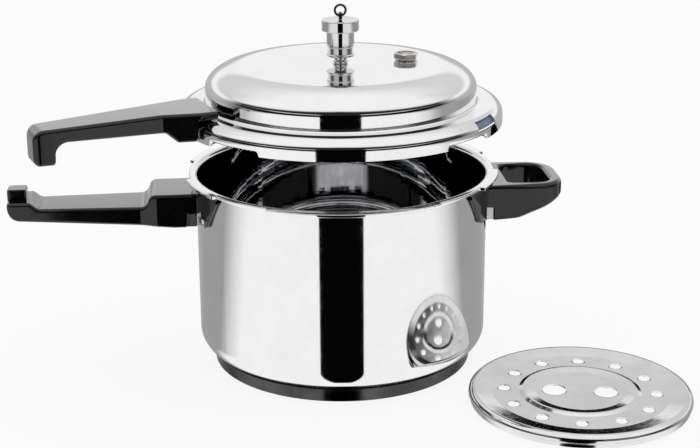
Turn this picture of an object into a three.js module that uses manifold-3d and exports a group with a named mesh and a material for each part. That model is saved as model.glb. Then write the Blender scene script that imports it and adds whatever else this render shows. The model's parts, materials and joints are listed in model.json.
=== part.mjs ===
// Outer-lid pressure cooker: a steel pot, its bayonet lid held up over it, valves, handles and a loose grid.
// Millimetres, +Z up. The origin is the middle of the base, on the surface that the pot stands on.
// The long handle points to -X, the helper handle to +X, and the front of the cooker faces -Y.

import * as THREE from 'three';
import { mergeVertices } from 'three/addons/utils/BufferGeometryUtils.js';
import Module from 'manifold-3d';

const wasm = await Module();
wasm.setup();

// Fits
const seatGap = 0.3; // between faces that rest on each other
const fitGap = 0.4; // between a round face and what is wrapped around it
const overcut = 2; // how far a cutting solid passes the face that it opens

// Roundness
const roundSegments = 48;
const smallSegments = 16;
const holeSegments = 12;
const wireSegments = 6;
const cornerSegments = 4;
const sectorStep = 6; // degrees between the points of a sector's arcs
const arcTolerance = 0.2; // how far a profile's arc may lie from a true one

// Pot
const potRadius = 111; // outside of the wall
const potHeight = 150.5; // rim above the floor
const potWall = 1.5;
const potCornerRadius = 16;
const rimThickness = 2.5;
const rimNeck = 5; // how far the rim stands out of the wall in a notch
const rimLugReach = 3.6; // how much further a bayonet lug stands out
const rimFillet = 2.5; // under the rim
const rimRound = 3.4; // from the inside of the wall onto the rim
const rimEdge = 0.6;

// Base
const baseHeight = 10.5; // floor to the underside of the pot
const baseInset = 11; // base cap inside the pot's wall
const baseCapWall = 1.2;
const baseEdge = 0.8;
const baseLipReach = 1;
const baseLipHeight = 1.4;

// Bayonet, in degrees from the front, the same on the left and right
const notchAngles = [44, 93, 136];
const notchWidth = 24.5;
const lugPlay = 2; // lid lug to the sides of its notch
const lugClearance = 0.5; // lid lug under the rim
const lugReachGap = 0.7; // lid lug to the narrow part of the rim
const unlockAngle = 18.7; // lid handle from the pot handle when the lid lifts off

// Lid
const lidLift = 45.8; // how far the lid is held above its closed place
const lidSheet = 1.4;
const lidPlay = 0.7; // rim lug to the inside of the skirt
const flangeWidth = 19.7; // dome wall to the outside of the skirt
const flangeRound = 8.5;
const domeHeight = 27.6; // top of the dome above the flange
const domeShoulderWidth = 28;
const domeShoulderHeight = 17;
const domeRootFillet = 2;
const skirtBelowLug = 3;
const windowFrom = 49; // degrees from the front, to the right
const windowTo = 62.5;
const windowTop = 1.2; // below the flange
const windowHeight = 6.8;
const windowDepth = 5; // into the rounded edge of the flange

// Gasket
const sealThickness = 5.5;
const sealInset = 2; // inner edge of the gasket outside the dome's root

// Handle fixings
const bracketPlate = 1.3;
const tongueThickness = 2.4;
const screwShankRadius = 1.9;
const screwHeadRadius = 3.8;
const screwHeadHeight = 2.3;
const screwRecess = 0.5;
const screwEngagement = 3; // shank past the bracket tongue

// Pot handle, measured outwards from the wall and down from the rim
const gripReach = 126.9; // to the inner face of the end lip
const lipLength = 14.4;
const lipTop = 8.2;
const lipShoulder = 16;
const lipTongueWidth = 14.4;
const lipRamp = 9; // foot of the ramp, inside the lip
const lipRampTop = 3;
const gripTop = 20.8;
const gripBottomFar = 29.8;
const gripBottomNear = 35.2;
const potBlockLength = 34;
const potBlockRamp = 4;
const potBlockSideLength = 29.6;
const potBlockSideRamp = 12.2;
const potBlockTop = 11.2;
const potBlockBottom = 37.2;
const potBlockHalfWidth = 24;
const gripHalfWidthNear = 21.5;
const gripHalfWidthFar = 17.5;
const potTongueLength = 66;
const potTongueWidth = 18;
const potTongueCover = 5.2; // handle over the bracket's tongue
const potScrewReach = 54;
const potPlateAngle = 11.5; // half the arc that the bracket plate covers
const potWingAngle = 31.5; // half the arc that the handle's wings cover
const plateTop = 13.5;
const plateBottom = 36;
const plateAngleGap = 0.5; // degrees, beside the plate
const wingThickness = 2.2;
const wingTop = 5.5;
const wingBottom = 32;
const wingEdge = 3; // upright end of a wing, above its slanted end
const wingSlant = 15; // how much narrower a wing is at the bottom

// Open corner at the foot of the pot's handles
const footOpeningTop = 26;
const footOpeningArc = 9; // degrees of the wing
const footOpeningDepth = 4; // into the side of the handle
const potFootOpening = 11; // from the wall along the side of the handle
const helperFootOpening = 7.5;

// Corners of the handles
const softCorner = 4;
const tightCorner = 2;
const endCorner = 8;
const gripEndCorner = 10;
const wingCorner = 8;
const planCorner = 5;

// Helper handle, measured in the same way
const helperReach = 57.5;
const helperHalfWidth = 33;
const helperTop = 9;
const helperBottom = 36.5;
const helperBarBottom = 21;
const helperFootLength = 20;
const helperCorner = 22;
const helperOpeningFrom = 15;
const helperOpeningTo = 47.5;
const helperArmWidth = 7.5;
const helperOpeningCorner = 8;
const helperTongueLength = 12.6;
const helperTongueWidth = 40;
const helperTongueCover = 11;
const helperScrewReach = 8.5;
const helperScrewSpacing = 24;
const helperPlateAngle = 16.5;
const helperWingAngle = 38;

// Lid handle, measured outwards from the skirt, and up or down from the flange
const lidHandleTopNear = 7;
const lidHandleTopFar = 3.2;
const lidHandleDomeGap = 4.5;
const lidGripBottom = 6.3;
const lidBlockBottom = 13.8;
const lidBlockLength = 14;
const lidBlockRamp = 8;
const lidHandleHalfWidthNear = 25;
const lidHandleHalfWidthMid = 19;
const lidHandleMidReach = 24;
const lidHandleHalfWidthFar = 12.5;
const hookGap = 0.9; // hook to the lip of the pot handle, when closed
const hookLength = 15;
const hookBottom = 22;
const hookFillet = 10;
const lidTongueLength = 52;
const lidTongueWidth = 16;
const lidTongueTop = 0.5;
const lidPlateAngle = 9;
const lidScrewReach = 38;
const lidScrewEngagement = 2;

// Vent tube, measured up from the top of the lid
const ventBore = 1.3;
const ventThreadRadius = 4;
const ventThreadLength = 10;
const ventCollarRadius = 5.8;
const ventCollarHeight = 1.5;
const ventStemRadius = 5.2;
const ventStemTop = 5;
const ventNozzleRadius = 3.2;
const ventNozzleTop = 17;
const ventTipHeight = 3;
const ventTipWall = 0.7;
const ventNutRadius = 8.4;

// Weight valve
const weightClearance = 0.8; // above the stem of the vent tube
const weightRadius = 10.3;
const weightWaistDepth = 0.6;
const weightLipReach = 0.2;
const weightLipHeight = 1.2;
const weightWaistTop = 6.8; // above its base
const weightHeight = 18.6;
const weightSpigotRadius = 7;
const weightSpigotHeight = 5;
const weightBoreGap = 1; // around the nozzle
const weightCapRadius = 13.9;
const weightCapHeight = 8.4;
const weightCapEdge = 0.7;
const pinRadius = 2;
const pinTipHeight = 2;
const pinSocket = 4.6; // how deep the pin sits in the weight
const eyeThickness = 2.4;
const eyePlay = 0.5; // around the wire of the ring
const eyeWall = 1.4;
const eyeRound = 2;
const ringRadius = 4.1; // to the middle of its wire
const ringWire = 0.65;

// Safety valve
const safetyRadius = 50.6; // from the middle of the lid
const safetyAngle = 98.3; // degrees from the front, to the right
const safetyHeadRadius = 9.8; // to the corners of its hexagon
const safetyHeadTurn = -17; // degrees from the front to a corner
const safetyWaistRadius = 8.2;
const safetyWaistHeight = 1.1;
const safetyHeight = 5.4;
const safetyEdge = 0.8;
const safetyCupRadius = 6.6;
const safetyCupDepth = 1.5;
const safetyThreadRadius = 5;
const safetyThreadLength = 9;
const plugRadius = 3;
const plugProud = 1;
const safetyNutRadius = 9.6;

// Nuts and washers under the lid
const washerThickness = 1.5;
const washerOverhang = 4; // outside the thread
const nutThickness = 4;

// Cooking grid
const gridRadius = 82;
const gridSheet = 0.9;
const gridHeight = 9;
const gridGap = 7; // pot wall to the edge of the grid
const gridDirection = 55.6; // degrees from the front, to the right
const gridTurn = -12;
const gridSkirtStep = 1.4;
const gridSkirtHeight = 4;
const gridEdgeRound = 4;
const gridRimWidth = 5;
const gridRimSlope = 12.5;
const gridSink = 2.6; // pierced ring below the rim
const gridBeadRadius = 41; // to its crest
const gridBeadInside = 8; // its slope towards the middle
const gridBeadOutside = 4;
const gridBeadCrown = 0.8; // half the flat on top of the bead
const gridBeadHeight = 1.5;
const gridHoleCount = 12;
const gridHoleRadius = 4.4;
const gridHoleCircle = 55.5;
const gridFingerHoleRadius = 8.7;
const gridFingerHoleSpacing = 37.6;

// Sizes that follow from those above
const potInner = potRadius - potWall;
const neckRadius = potRadius + rimNeck;
const rimLugRadius = neckRadius + rimLugReach;
const rimUnderside = potHeight - rimThickness;
const baseRadius = potRadius - baseInset;
const skirtInner = rimLugRadius + lidPlay;
const skirtRadius = skirtInner + lidSheet;
const domeRadius = skirtRadius - flangeWidth;
const shoulderHeight = Math.min(domeShoulderHeight, domeHeight - 2 * domeRootFillet);
const flangeClosed = potHeight + seatGap + sealThickness + fitGap + lidSheet;
const lugTop = rimUnderside - lugClearance - flangeClosed;
const lugBottom = lugTop - lidSheet;
const skirtBottom = lugBottom - skirtBelowLug;
const lidUnderside = -lidSheet;

// Materials
function finish(color, roughness, metalness) {
  return new THREE.MeshStandardMaterial({ color, roughness, metalness });
}

const polishedSteel = finish(0xd9dadc, 0.08, 1);
const satinSteel = finish(0xb9babd, 0.35, 1);
const aluminium = finish(0xc4c6c9, 0.45, 1);
const brass = finish(0xb9a15c, 0.35, 1);
const bakelite = finish(0x121214, 0.25, 0);
const sealRubber = finish(0x5c6f8e, 0.7, 0);
const washerRubber = finish(0x2a2a2c, 0.8, 0);

// A closed solid from a geometry, with its faces turned outwards.
function solid(geometry) {
  const bare = geometry.clone();
  bare.deleteAttribute('normal');
  bare.deleteAttribute('uv');
  const welded = mergeVertices(bare);
  const { array } = welded.getAttribute('position');
  const corner = (i) => new THREE.Vector3().fromArray(array, 3 * i);
  const triangles = [];
  let volume = 0;
  for (let i = 0; i < welded.index.count; i += 3) {
    const [a, b, c] = welded.index.array.slice(i, i + 3);
    if (a === b || b === c || c === a) continue;
    triangles.push([a, b, c]);
    volume += corner(a).dot(corner(b).cross(corner(c)));
  }
  const outward = volume < 0 ? triangles.map(([a, b, c]) => [a, c, b]) : triangles;
  return new wasm.Manifold(new wasm.Mesh({
    numProp: 3,
    vertProperties: Float32Array.from(array),
    triVerts: Uint32Array.from(outward.flat()),
  }));
}

// A named mesh of a solid, placed in a group.
function addPiece(parent, name, body, material) {
  const { vertProperties, triVerts } = body.getMesh();
  const geometry = new THREE.BufferGeometry();
  geometry.setAttribute('position', new THREE.BufferAttribute(Float32Array.from(vertProperties), 3));
  geometry.setIndex(new THREE.BufferAttribute(Uint32Array.from(triVerts), 1));
  geometry.computeVertexNormals();
  const mesh = new THREE.Mesh(geometry, material);
  mesh.name = name;
  parent.add(mesh);
}

// Points of an arc in a profile, with angles in degrees.
function arc(centreX, centreY, radius, from, to) {
  const widestStep = 2 * Math.acos(Math.max(0, 1 - arcTolerance / radius));
  const steps = Math.ceil(THREE.MathUtils.degToRad(Math.abs(to - from)) / widestStep);
  return Array.from({ length: steps + 1 }, (_, i) => {
    const angle = THREE.MathUtils.degToRad(from + ((to - from) * i) / steps);
    return [centreX + radius * Math.cos(angle), centreY + radius * Math.sin(angle)];
  });
}

// A turned solid from a profile of [radius, height] points that starts and ends on its axis.
function turned(profile, segments = roundSegments, [x, y] = [0, 0]) {
  const points = profile.map(([radius, height]) => new THREE.Vector2(radius, height));
  return solid(new THREE.LatheGeometry(points, segments).rotateX(Math.PI / 2).translate(x, y, 0));
}

// A turned ring from a profile that closes on itself.
const turnedRing = (profile, segments = roundSegments) => turned([...profile, profile[0]], segments);

// A round bar or cutter from a bottom to a top height.
function disc(radius, bottom, top, segments = smallSegments, place = [0, 0]) {
  return turned([[0, bottom], [radius, bottom], [radius, top], [0, top]], segments, place);
}

// A closed outline from [x, y, corner radius] points.
function outline(corners) {
  const shape = new THREE.Shape();
  const toward = (from, [x, y], distance) => {
    const step = new THREE.Vector2(x, y).sub(from).setLength(distance);
    return step.add(from);
  };
  corners.forEach(([x, y, radius = 0], i) => {
    const corner = new THREE.Vector2(x, y);
    const start = toward(corner, corners.at(i - 1), radius);
    const end = toward(corner, corners[(i + 1) % corners.length], radius);
    if (i === 0) shape.moveTo(start.x, start.y);
    else shape.lineTo(start.x, start.y);
    if (radius) shape.quadraticCurveTo(corner.x, corner.y, end.x, end.y);
  });
  shape.closePath();
  return shape;
}

// A closed plan outline from the points of its one half.
function mirrored(half) {
  const other = half.map(([x, y, radius]) => [x, -y, radius]).reverse();
  return outline([...half, ...other]);
}

// A plan outline raised from a bottom to a top height.
function raised(shape, bottom, top, curveSegments = cornerSegments) {
  const settings = { depth: top - bottom, bevelEnabled: false, curveSegments };
  const geometry = new THREE.ExtrudeGeometry(shape, settings);
  return solid(geometry.translate(0, 0, bottom));
}

// A side outline of [reach, height] points, as wide as twice the half width.
function sideways(shape, halfWidth, turn = 0) {
  const settings = { depth: 2 * halfWidth, bevelEnabled: false, curveSegments: cornerSegments };
  const geometry = new THREE.ExtrudeGeometry(shape, settings);
  return solid(geometry.rotateX(Math.PI / 2).translate(0, halfWidth, 0).rotateZ(turn));
}

// A plain block between two corners.
function block([x0, y0, z0], [x1, y1, z1]) {
  const geometry = new THREE.BoxGeometry(x1 - x0, y1 - y0, z1 - z0);
  return solid(geometry.translate((x0 + x1) / 2, (y0 + y1) / 2, (z0 + z1) / 2));
}

// Part of a ring around the axis, with angles in degrees from +X.
function sector(innerRadius, outerRadius, from, to, bottom, top) {
  const start = THREE.MathUtils.degToRad(from);
  const end = THREE.MathUtils.degToRad(to);
  const shape = new THREE.Shape();
  shape.absarc(0, 0, outerRadius, start, end, false);
  shape.absarc(0, 0, innerRadius, end, start, true);
  shape.closePath();
  return raised(shape, bottom, top, Math.ceil((to - from) / (2 * sectorStep)));
}

// A sector whose angles are counted from the front of the cooker, to the right.
function frontSector(innerRadius, outerRadius, from, to, bottom, top) {
  return sector(innerRadius, outerRadius, from - 90, to - 90, bottom, top);
}

// A point at a distance from the axis, at an angle from the front.
function fromFront(distance, angle) {
  const turn = THREE.MathUtils.degToRad(angle - 90);
  return [distance * Math.cos(turn), distance * Math.sin(turn)];
}

// All bayonet places, left and right.
const bayonetAngles = notchAngles.flatMap((angle) => [angle, -angle]);

// A hexagon block, with its first corner at an angle from the front.
function hexagon(cornerRadius, turn, bottom, top) {
  const corners = Array.from({ length: 6 }, (_, i) => fromFront(cornerRadius, turn + 60 * i));
  return raised(outline(corners), bottom, top);
}

// A hexagon nut around a thread.
function nut(cornerRadius, threadRadius, top) {
  const bottom = top - nutThickness;
  const hole = disc(threadRadius + fitGap, bottom - overcut, top + overcut);
  return hexagon(cornerRadius, 0, bottom, top).subtract(hole);
}

// A flat washer around a thread.
function washer(threadRadius, top) {
  const inner = threadRadius + fitGap;
  const outer = threadRadius + washerOverhang;
  const bottom = top - washerThickness;
  return turnedRing([[inner, bottom], [outer, bottom], [outer, top], [inner, top]], smallSegments);
}

// A screw that enters from below: head at the bottom, shank up to its tip.
function screw(headBottom, tip, place) {
  const headTop = headBottom + screwHeadHeight;
  return turned([
    [0, headBottom],
    [screwHeadRadius, headBottom],
    [screwHeadRadius, headTop],
    [screwShankRadius, headTop],
    [screwShankRadius, tip],
    [0, tip],
  ], smallSegments, place);
}

// The hole that such a screw needs in a handle, open below.
function screwHole(headBottom, tip, place) {
  const headTop = headBottom + screwHeadHeight + seatGap;
  const below = headBottom - screwRecess - overcut;
  const shank = disc(screwShankRadius + fitGap, below, tip + seatGap, smallSegments, place);
  return shank.add(disc(screwHeadRadius + fitGap, below, headTop, smallSegments, place));
}

// Height of a straight edge between two points, at a reach between them.
function heightAt([x0, z0], [x1, z1], x) {
  return z0 + ((z1 - z0) * (x - x0)) / (x1 - x0);
}

// Pot

function potBody() {
  const cornerCentre = potRadius - potCornerRadius;
  const cornerHeight = baseHeight + potCornerRadius;
  const shell = turned([
    [0, baseHeight],
    ...arc(cornerCentre, cornerHeight, potCornerRadius, -90, 0),
    ...arc(potRadius + rimFillet, rimUnderside - rimFillet, rimFillet, 180, 90),
    [rimLugRadius - rimEdge, rimUnderside],
    [rimLugRadius, rimUnderside + rimEdge],
    [rimLugRadius, potHeight - rimEdge],
    [rimLugRadius - rimEdge, potHeight],
    ...arc(potInner + rimRound, potHeight - rimRound, rimRound, 90, 180),
    ...arc(cornerCentre, cornerHeight, potCornerRadius - potWall, 0, -90),
    [0, baseHeight + potWall],
  ]);
  const notches = bayonetAngles.map((angle) => frontSector(
    neckRadius,
    rimLugRadius + overcut,
    angle - notchWidth / 2,
    angle + notchWidth / 2,
    rimUnderside - overcut,
    potHeight + overcut,
  ));
  return notches.reduce((body, notch) => body.subtract(notch), shell);
}

function baseCore() {
  const radius = baseRadius - baseCapWall - seatGap;
  return disc(radius, baseCapWall + seatGap, baseHeight - seatGap, roundSegments);
}

function baseCap() {
  const top = baseHeight - seatGap;
  return turned([
    [0, 0],
    [baseRadius - baseEdge, 0],
    [baseRadius, baseEdge],
    [baseRadius, top - baseLipHeight],
    [baseRadius + baseLipReach, top - baseLipHeight],
    [baseRadius + baseLipReach, top],
    [baseRadius - baseCapWall, top],
    [baseRadius - baseCapWall, baseCapWall],
    [0, baseCapWall],
  ]);
}

// Brackets: a plate bent around a round wall, and a tongue that a handle slides over.

function bracket(wallRadius, plateAngle, bottom, top, tongue) {
  const inner = wallRadius + fitGap;
  const outer = inner + bracketPlate;
  const plate = sector(inner, outer, -plateAngle, plateAngle, bottom, top);
  const bar = block(
    [inner + bracketPlate / 2, -tongue.width / 2, tongue.top - tongueThickness],
    [wallRadius + tongue.length, tongue.width / 2, tongue.top],
  );
  const holeBottom = tongue.top - tongueThickness - overcut;
  const holes = tongue.screws.map((place) => (
    disc(screwShankRadius + fitGap, holeBottom, tongue.top + overcut, smallSegments, place)
  ));
  return holes.reduce((body, hole) => body.subtract(hole), plate.add(bar));
}

// Room for a bracket's tongue in a handle.
function tongueRoom(wallRadius, tongue) {
  return block(
    [wallRadius, -tongue.width / 2 - fitGap, tongue.top - tongueThickness - fitGap],
    [wallRadius + tongue.length + fitGap, tongue.width / 2 + fitGap, tongue.top + fitGap],
  );
}

// Room for the pot's wall, and for the plate and tongue of a bracket on it.
function potRoom(plateAngle, tongue) {
  const wallFace = potRadius + fitGap;
  const plateFace = wallFace + bracketPlate + fitGap;
  const halfArc = plateAngle + plateAngleGap;
  const plate = sector(potInner, plateFace, -halfArc, halfArc, 0, potHeight - plateTop + fitGap);
  return disc(wallFace, 0, potHeight + overcut, roundSegments)
    .add(plate)
    .add(tongueRoom(potRadius, tongue));
}

// Thin wings of a handle along the pot wall, narrower at the bottom.
function wings(angle) {
  const outer = potRadius + fitGap + wingThickness;
  const bottom = potHeight - wingBottom;
  const top = potHeight - wingTop;
  const halfWidth = outer * Math.sin(THREE.MathUtils.degToRad(angle));
  const front = outline([
    [-halfWidth, top],
    [-halfWidth, top - wingEdge, tightCorner],
    [wingSlant - halfWidth, bottom, wingCorner],
    [halfWidth - wingSlant, bottom, wingCorner],
    [halfWidth, top - wingEdge, tightCorner],
    [halfWidth, top],
  ]);
  const ring = sector(potInner, outer, -angle, angle, bottom, top);
  return ring.intersect(sideways(front, outer + overcut, Math.PI / 2));
}

// How far the pot's wall stands from the axis, at a distance to the side.
const wallAt = (aside) => Math.sqrt(potRadius ** 2 - aside ** 2);

// Ears of a pot bracket, bent out along the sides of a handle, inside its open corners.
function ears(halfWidth, length) {
  const near = halfWidth - footOpeningDepth + fitGap;
  const far = near + bracketPlate;
  const plateMiddle = potRadius + fitGap + bracketPlate / 2;
  const start = Math.sqrt(plateMiddle ** 2 - near * far);
  const end = wallAt(halfWidth) + length - fitGap;
  const bottom = potHeight - plateBottom;
  const top = potHeight - footOpeningTop - fitGap;
  const left = block([start, near, bottom], [end, far, top]);
  return left.add(block([start, -far, bottom], [end, -near, top]));
}

// Open corners at the foot of a handle, where the steel shows.
function footOpenings(halfWidth, length, handleBottom) {
  const sideAngle = THREE.MathUtils.radToDeg(Math.asin(halfWidth / potRadius));
  const bottom = potHeight - handleBottom - overcut;
  const top = potHeight - footOpeningTop;
  const end = wallAt(halfWidth) + length;
  const openings = [1, -1].map((side) => {
    const from = Math.min(side * sideAngle, side * (sideAngle + footOpeningArc));
    const wing = sector(potInner, end, from, from + footOpeningArc, bottom, top);
    const inside = halfWidth - footOpeningDepth;
    const outside = halfWidth + overcut;
    return wing.add(block(
      [wallAt(halfWidth) - overcut, side > 0 ? inside : -outside, bottom],
      [end, side > 0 ? outside : -inside, top],
    ));
  });
  return openings[0].add(openings[1]);
}

// Pot handle, built pointing along +X

const potTongue = {
  length: potTongueLength,
  width: potTongueWidth,
  top: potHeight - gripTop - potTongueCover,
  screws: [[potRadius + potScrewReach, 0]],
};
const lipEnd = gripReach + lipLength;
const gripNear = potBlockLength + potBlockRamp;
const potGripUnderside = heightAt([gripNear, -gripBottomNear], [lipEnd, -gripBottomFar], potScrewReach);
const potScrewHead = potHeight + potGripUnderside + screwRecess;
const potScrewTip = potTongue.top + screwEngagement;

function potHandle() {
  const side = outline([
    [potRadius - overcut, potHeight - potBlockTop],
    [potRadius + potBlockLength, potHeight - potBlockTop, softCorner],
    [potRadius + gripNear, potHeight - gripTop, softCorner],
    [potRadius + gripReach - lipRamp, potHeight - gripTop, softCorner],
    [potRadius + gripReach - lipRampTop, potHeight - lipShoulder, tightCorner],
    [potRadius + lipEnd, potHeight - lipShoulder, tightCorner],
    [potRadius + lipEnd, potHeight - gripBottomFar, gripEndCorner],
    [potRadius + gripNear, potHeight - gripBottomNear, softCorner],
    [potRadius + potBlockLength / 2, potHeight - potBlockBottom, softCorner],
    [potRadius - overcut, potHeight - potBlockBottom],
  ]);
  const halfPlan = [
    [potRadius - overcut, potBlockHalfWidth],
    [potRadius + potBlockSideLength, potBlockHalfWidth, tightCorner],
    [potRadius + potBlockSideLength + potBlockSideRamp, gripHalfWidthNear, tightCorner],
    [potRadius + lipEnd, gripHalfWidthFar, planCorner],
  ];
  const lip = outline([
    [potRadius + gripReach, potHeight - lipShoulder - overcut],
    [potRadius + gripReach, potHeight - lipTop, tightCorner],
    [potRadius + lipEnd, potHeight - lipTop, tightCorner],
    [potRadius + lipEnd, potHeight - lipShoulder - overcut],
  ]);
  const plan = raised(mirrored(halfPlan), potHeight - potBlockBottom - overcut, potHeight);
  return sideways(side, potBlockHalfWidth + overcut)
    .intersect(plan)
    .add(sideways(lip, lipTongueWidth / 2))
    .add(wings(potWingAngle))
    .subtract(potRoom(potPlateAngle, potTongue))
    .subtract(footOpenings(potBlockHalfWidth, potFootOpening, potBlockBottom))
    .subtract(screwHole(potScrewHead, potScrewTip, potTongue.screws[0]));
}

// Helper handle, built pointing along +X

const helperTongue = {
  length: helperTongueLength,
  width: helperTongueWidth,
  top: potHeight - helperTop - helperTongueCover,
  screws: [1, -1].map((side) => [potRadius + helperScrewReach, (side * helperScrewSpacing) / 2]),
};
const helperScrewHead = potHeight - helperBottom + screwRecess;
const helperScrewTip = helperTongue.top + screwEngagement;

function helperHandle() {
  const side = outline([
    [potRadius - overcut, potHeight - helperTop],
    [potRadius + helperReach, potHeight - helperTop, planCorner],
    [potRadius + helperReach, potHeight - helperBarBottom, planCorner],
    [potRadius + helperFootLength, potHeight - helperBottom, planCorner],
    [potRadius - overcut, potHeight - helperBottom],
  ]);
  const plan = mirrored([
    [potRadius - overcut, helperHalfWidth],
    [potRadius + helperReach, helperHalfWidth, helperCorner],
  ]);
  const openingHalfWidth = helperHalfWidth - helperArmWidth;
  const opening = mirrored([
    [potRadius + helperOpeningFrom, openingHalfWidth, helperOpeningCorner],
    [potRadius + helperOpeningTo, openingHalfWidth, helperOpeningCorner],
  ]);
  const bottom = potHeight - helperBottom - overcut;
  const shape = sideways(side, helperHalfWidth + overcut)
    .intersect(raised(plan, bottom, potHeight))
    .subtract(raised(opening, bottom, potHeight))
    .add(wings(helperWingAngle))
    .subtract(potRoom(helperPlateAngle, helperTongue))
    .subtract(footOpenings(helperHalfWidth, helperFootOpening, helperBottom));
  const holes = helperTongue.screws.map((place) => screwHole(helperScrewHead, helperScrewTip, place));
  return holes.reduce((body, hole) => body.subtract(hole), shape);
}

// Lid, with heights from the top of its flange

// The dome's shoulder, an arc that is wider than it is high, at a depth below the outside.
function shoulderArc(depth) {
  const width = domeShoulderWidth - depth;
  const squash = (shoulderHeight - depth) / width;
  const centreX = domeRadius - domeShoulderWidth;
  const centreY = domeHeight - shoulderHeight;
  return arc(0, 0, width, 90, 0).map(([x, y]) => [centreX + x, centreY + squash * y]);
}

// The lid's outside, or the same skin at a depth below it.
function lidSkin(depth) {
  return [
    [0, domeHeight - depth],
    ...shoulderArc(depth),
    ...arc(domeRadius + domeRootFillet, domeRootFillet, domeRootFillet + depth, 180, 270),
    ...arc(skirtRadius - flangeRound, -flangeRound, flangeRound - depth, 90, 0),
    [skirtRadius - depth, skirtBottom],
  ];
}

const lugHalfWidth = notchWidth / 2 - lugPlay;
const safetyPlace = fromFront(safetyRadius, safetyAngle);

function lidShell() {
  const skin = turned([...lidSkin(0), ...lidSkin(lidSheet).reverse()]);
  const lugged = bayonetAngles.reduce((body, angle) => {
    const from = angle - lugHalfWidth;
    const to = angle + lugHalfWidth;
    const lug = frontSector(neckRadius + lugReachGap, skirtInner + lidSheet / 2, from, to, lugBottom, lugTop);
    const below = frontSector(neckRadius, skirtRadius + overcut, from, to, skirtBottom - overcut, lugBottom);
    return body.add(lug).subtract(below);
  }, skin);
  const window = frontSector(
    skirtInner - windowDepth,
    skirtRadius + overcut,
    windowFrom,
    windowTo,
    -windowTop - windowHeight,
    -windowTop,
  );
  const pierce = (radius, place) => (
    disc(radius + fitGap, domeHeight - shoulderHeight, domeHeight + overcut, smallSegments, place)
  );
  return lugged
    .subtract(window)
    .subtract(pierce(ventThreadRadius, [0, 0]))
    .subtract(pierce(safetyThreadRadius, safetyPlace));
}

function gasket() {
  const centre = skirtRadius - flangeRound;
  const radius = flangeRound - lidSheet - fitGap;
  const inner = domeRadius + domeRootFillet + sealInset;
  const top = lidUnderside - fitGap;
  const bottom = top - sealThickness;
  const rise = Math.min(1, Math.max(0, (bottom + flangeRound) / radius));
  const edge = THREE.MathUtils.radToDeg(Math.asin(rise));
  return turnedRing([
    [inner, bottom],
    [inner, top],
    ...arc(centre, -flangeRound, radius, 90, edge),
    [centre + radius * Math.cos(Math.asin(rise)), bottom],
  ]);
}

// Lid handle, built pointing along +X, with heights from the top of the flange

const lidTongue = {
  length: lidTongueLength,
  width: lidTongueWidth,
  top: lidTongueTop,
  screws: [[skirtRadius + lidScrewReach, 0]],
};
const lidHandleEnd = potRadius + gripReach - hookGap;
const lidScrewHead = -lidGripBottom + screwRecess;
const lidScrewTip = lidTongue.top + lidScrewEngagement;

function lidHandle() {
  const near = domeRadius + lidHandleDomeGap;
  const blockEnd = skirtRadius + lidBlockLength;
  const side = outline([
    [near, lidHandleTopNear],
    [skirtRadius + lidHandleMidReach, lidHandleTopNear, softCorner],
    [lidHandleEnd, lidHandleTopFar, endCorner],
    [lidHandleEnd, -hookBottom, softCorner],
    [lidHandleEnd - hookLength, -hookBottom, tightCorner],
    [lidHandleEnd - hookLength, -lidGripBottom, hookFillet],
    [blockEnd + lidBlockRamp, -lidGripBottom, softCorner],
    [blockEnd, -lidBlockBottom, tightCorner],
    [near, -lidBlockBottom],
  ]);
  const plan = mirrored([
    [near, lidHandleHalfWidthNear],
    [skirtRadius, lidHandleHalfWidthNear, planCorner],
    [skirtRadius + lidHandleMidReach, lidHandleHalfWidthMid, endCorner],
    [lidHandleEnd, lidHandleHalfWidthFar, planCorner],
  ]);
  const bottom = -hookBottom - overcut;
  const plateFace = skirtRadius + fitGap + bracketPlate + fitGap;
  return sideways(side, lidHandleHalfWidthNear + overcut)
    .intersect(raised(plan, bottom, domeHeight))
    .subtract(disc(plateFace, bottom, lidTongueTop + fitGap, roundSegments))
    .subtract(tongueRoom(skirtRadius, lidTongue))
    .subtract(screwHole(lidScrewHead, lidScrewTip, lidTongue.screws[0]));
}

// Valves, with heights from the top of the lid

const washerTop = lidUnderside - seatGap;
const nutTop = washerTop - washerThickness - seatGap;

function ventTube() {
  return turnedRing([
    [ventBore, -ventThreadLength],
    [ventThreadRadius, -ventThreadLength],
    [ventThreadRadius, seatGap],
    [ventCollarRadius, seatGap],
    [ventCollarRadius, seatGap + ventCollarHeight],
    [ventStemRadius, seatGap + ventCollarHeight],
    [ventStemRadius, ventStemTop],
    [ventNozzleRadius, ventStemTop],
    [ventNozzleRadius, ventNozzleTop - ventTipHeight],
    [ventBore + ventTipWall, ventNozzleTop],
    [ventBore, ventNozzleTop],
  ], smallSegments);
}

const weightBase = ventStemTop + weightClearance;
const weightTop = weightBase + weightHeight;
const weightBore = ventNozzleRadius + weightBoreGap;
const pinTip = ventNozzleTop + seatGap - (pinTipHeight * ventBore) / pinRadius;
const pinShoulder = pinTip + pinTipHeight;
const pinTop = pinShoulder + seatGap + pinSocket;
const capBottom = weightTop + seatGap;
const capTop = capBottom + weightCapHeight;

function weightBody() {
  const waistTop = weightBase + weightWaistTop;
  const lip = weightBase + weightLipHeight;
  const lipRadius = weightRadius + weightLipReach;
  const waistRadius = weightRadius - weightWaistDepth;
  return turned([
    [0, pinTop + seatGap],
    [pinRadius + seatGap, pinTop + seatGap],
    [pinRadius + seatGap, pinShoulder + seatGap],
    [weightBore, pinShoulder + seatGap],
    [weightBore, weightBase],
    [lipRadius, weightBase],
    [lipRadius, lip],
    [waistRadius, lip + weightWaistDepth],
    [waistRadius, waistTop],
    [weightRadius, waistTop + weightWaistDepth],
    [weightRadius, weightTop],
    [weightSpigotRadius, weightTop],
    [weightSpigotRadius, weightTop + weightSpigotHeight],
    [0, weightTop + weightSpigotHeight],
  ], smallSegments);
}

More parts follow.
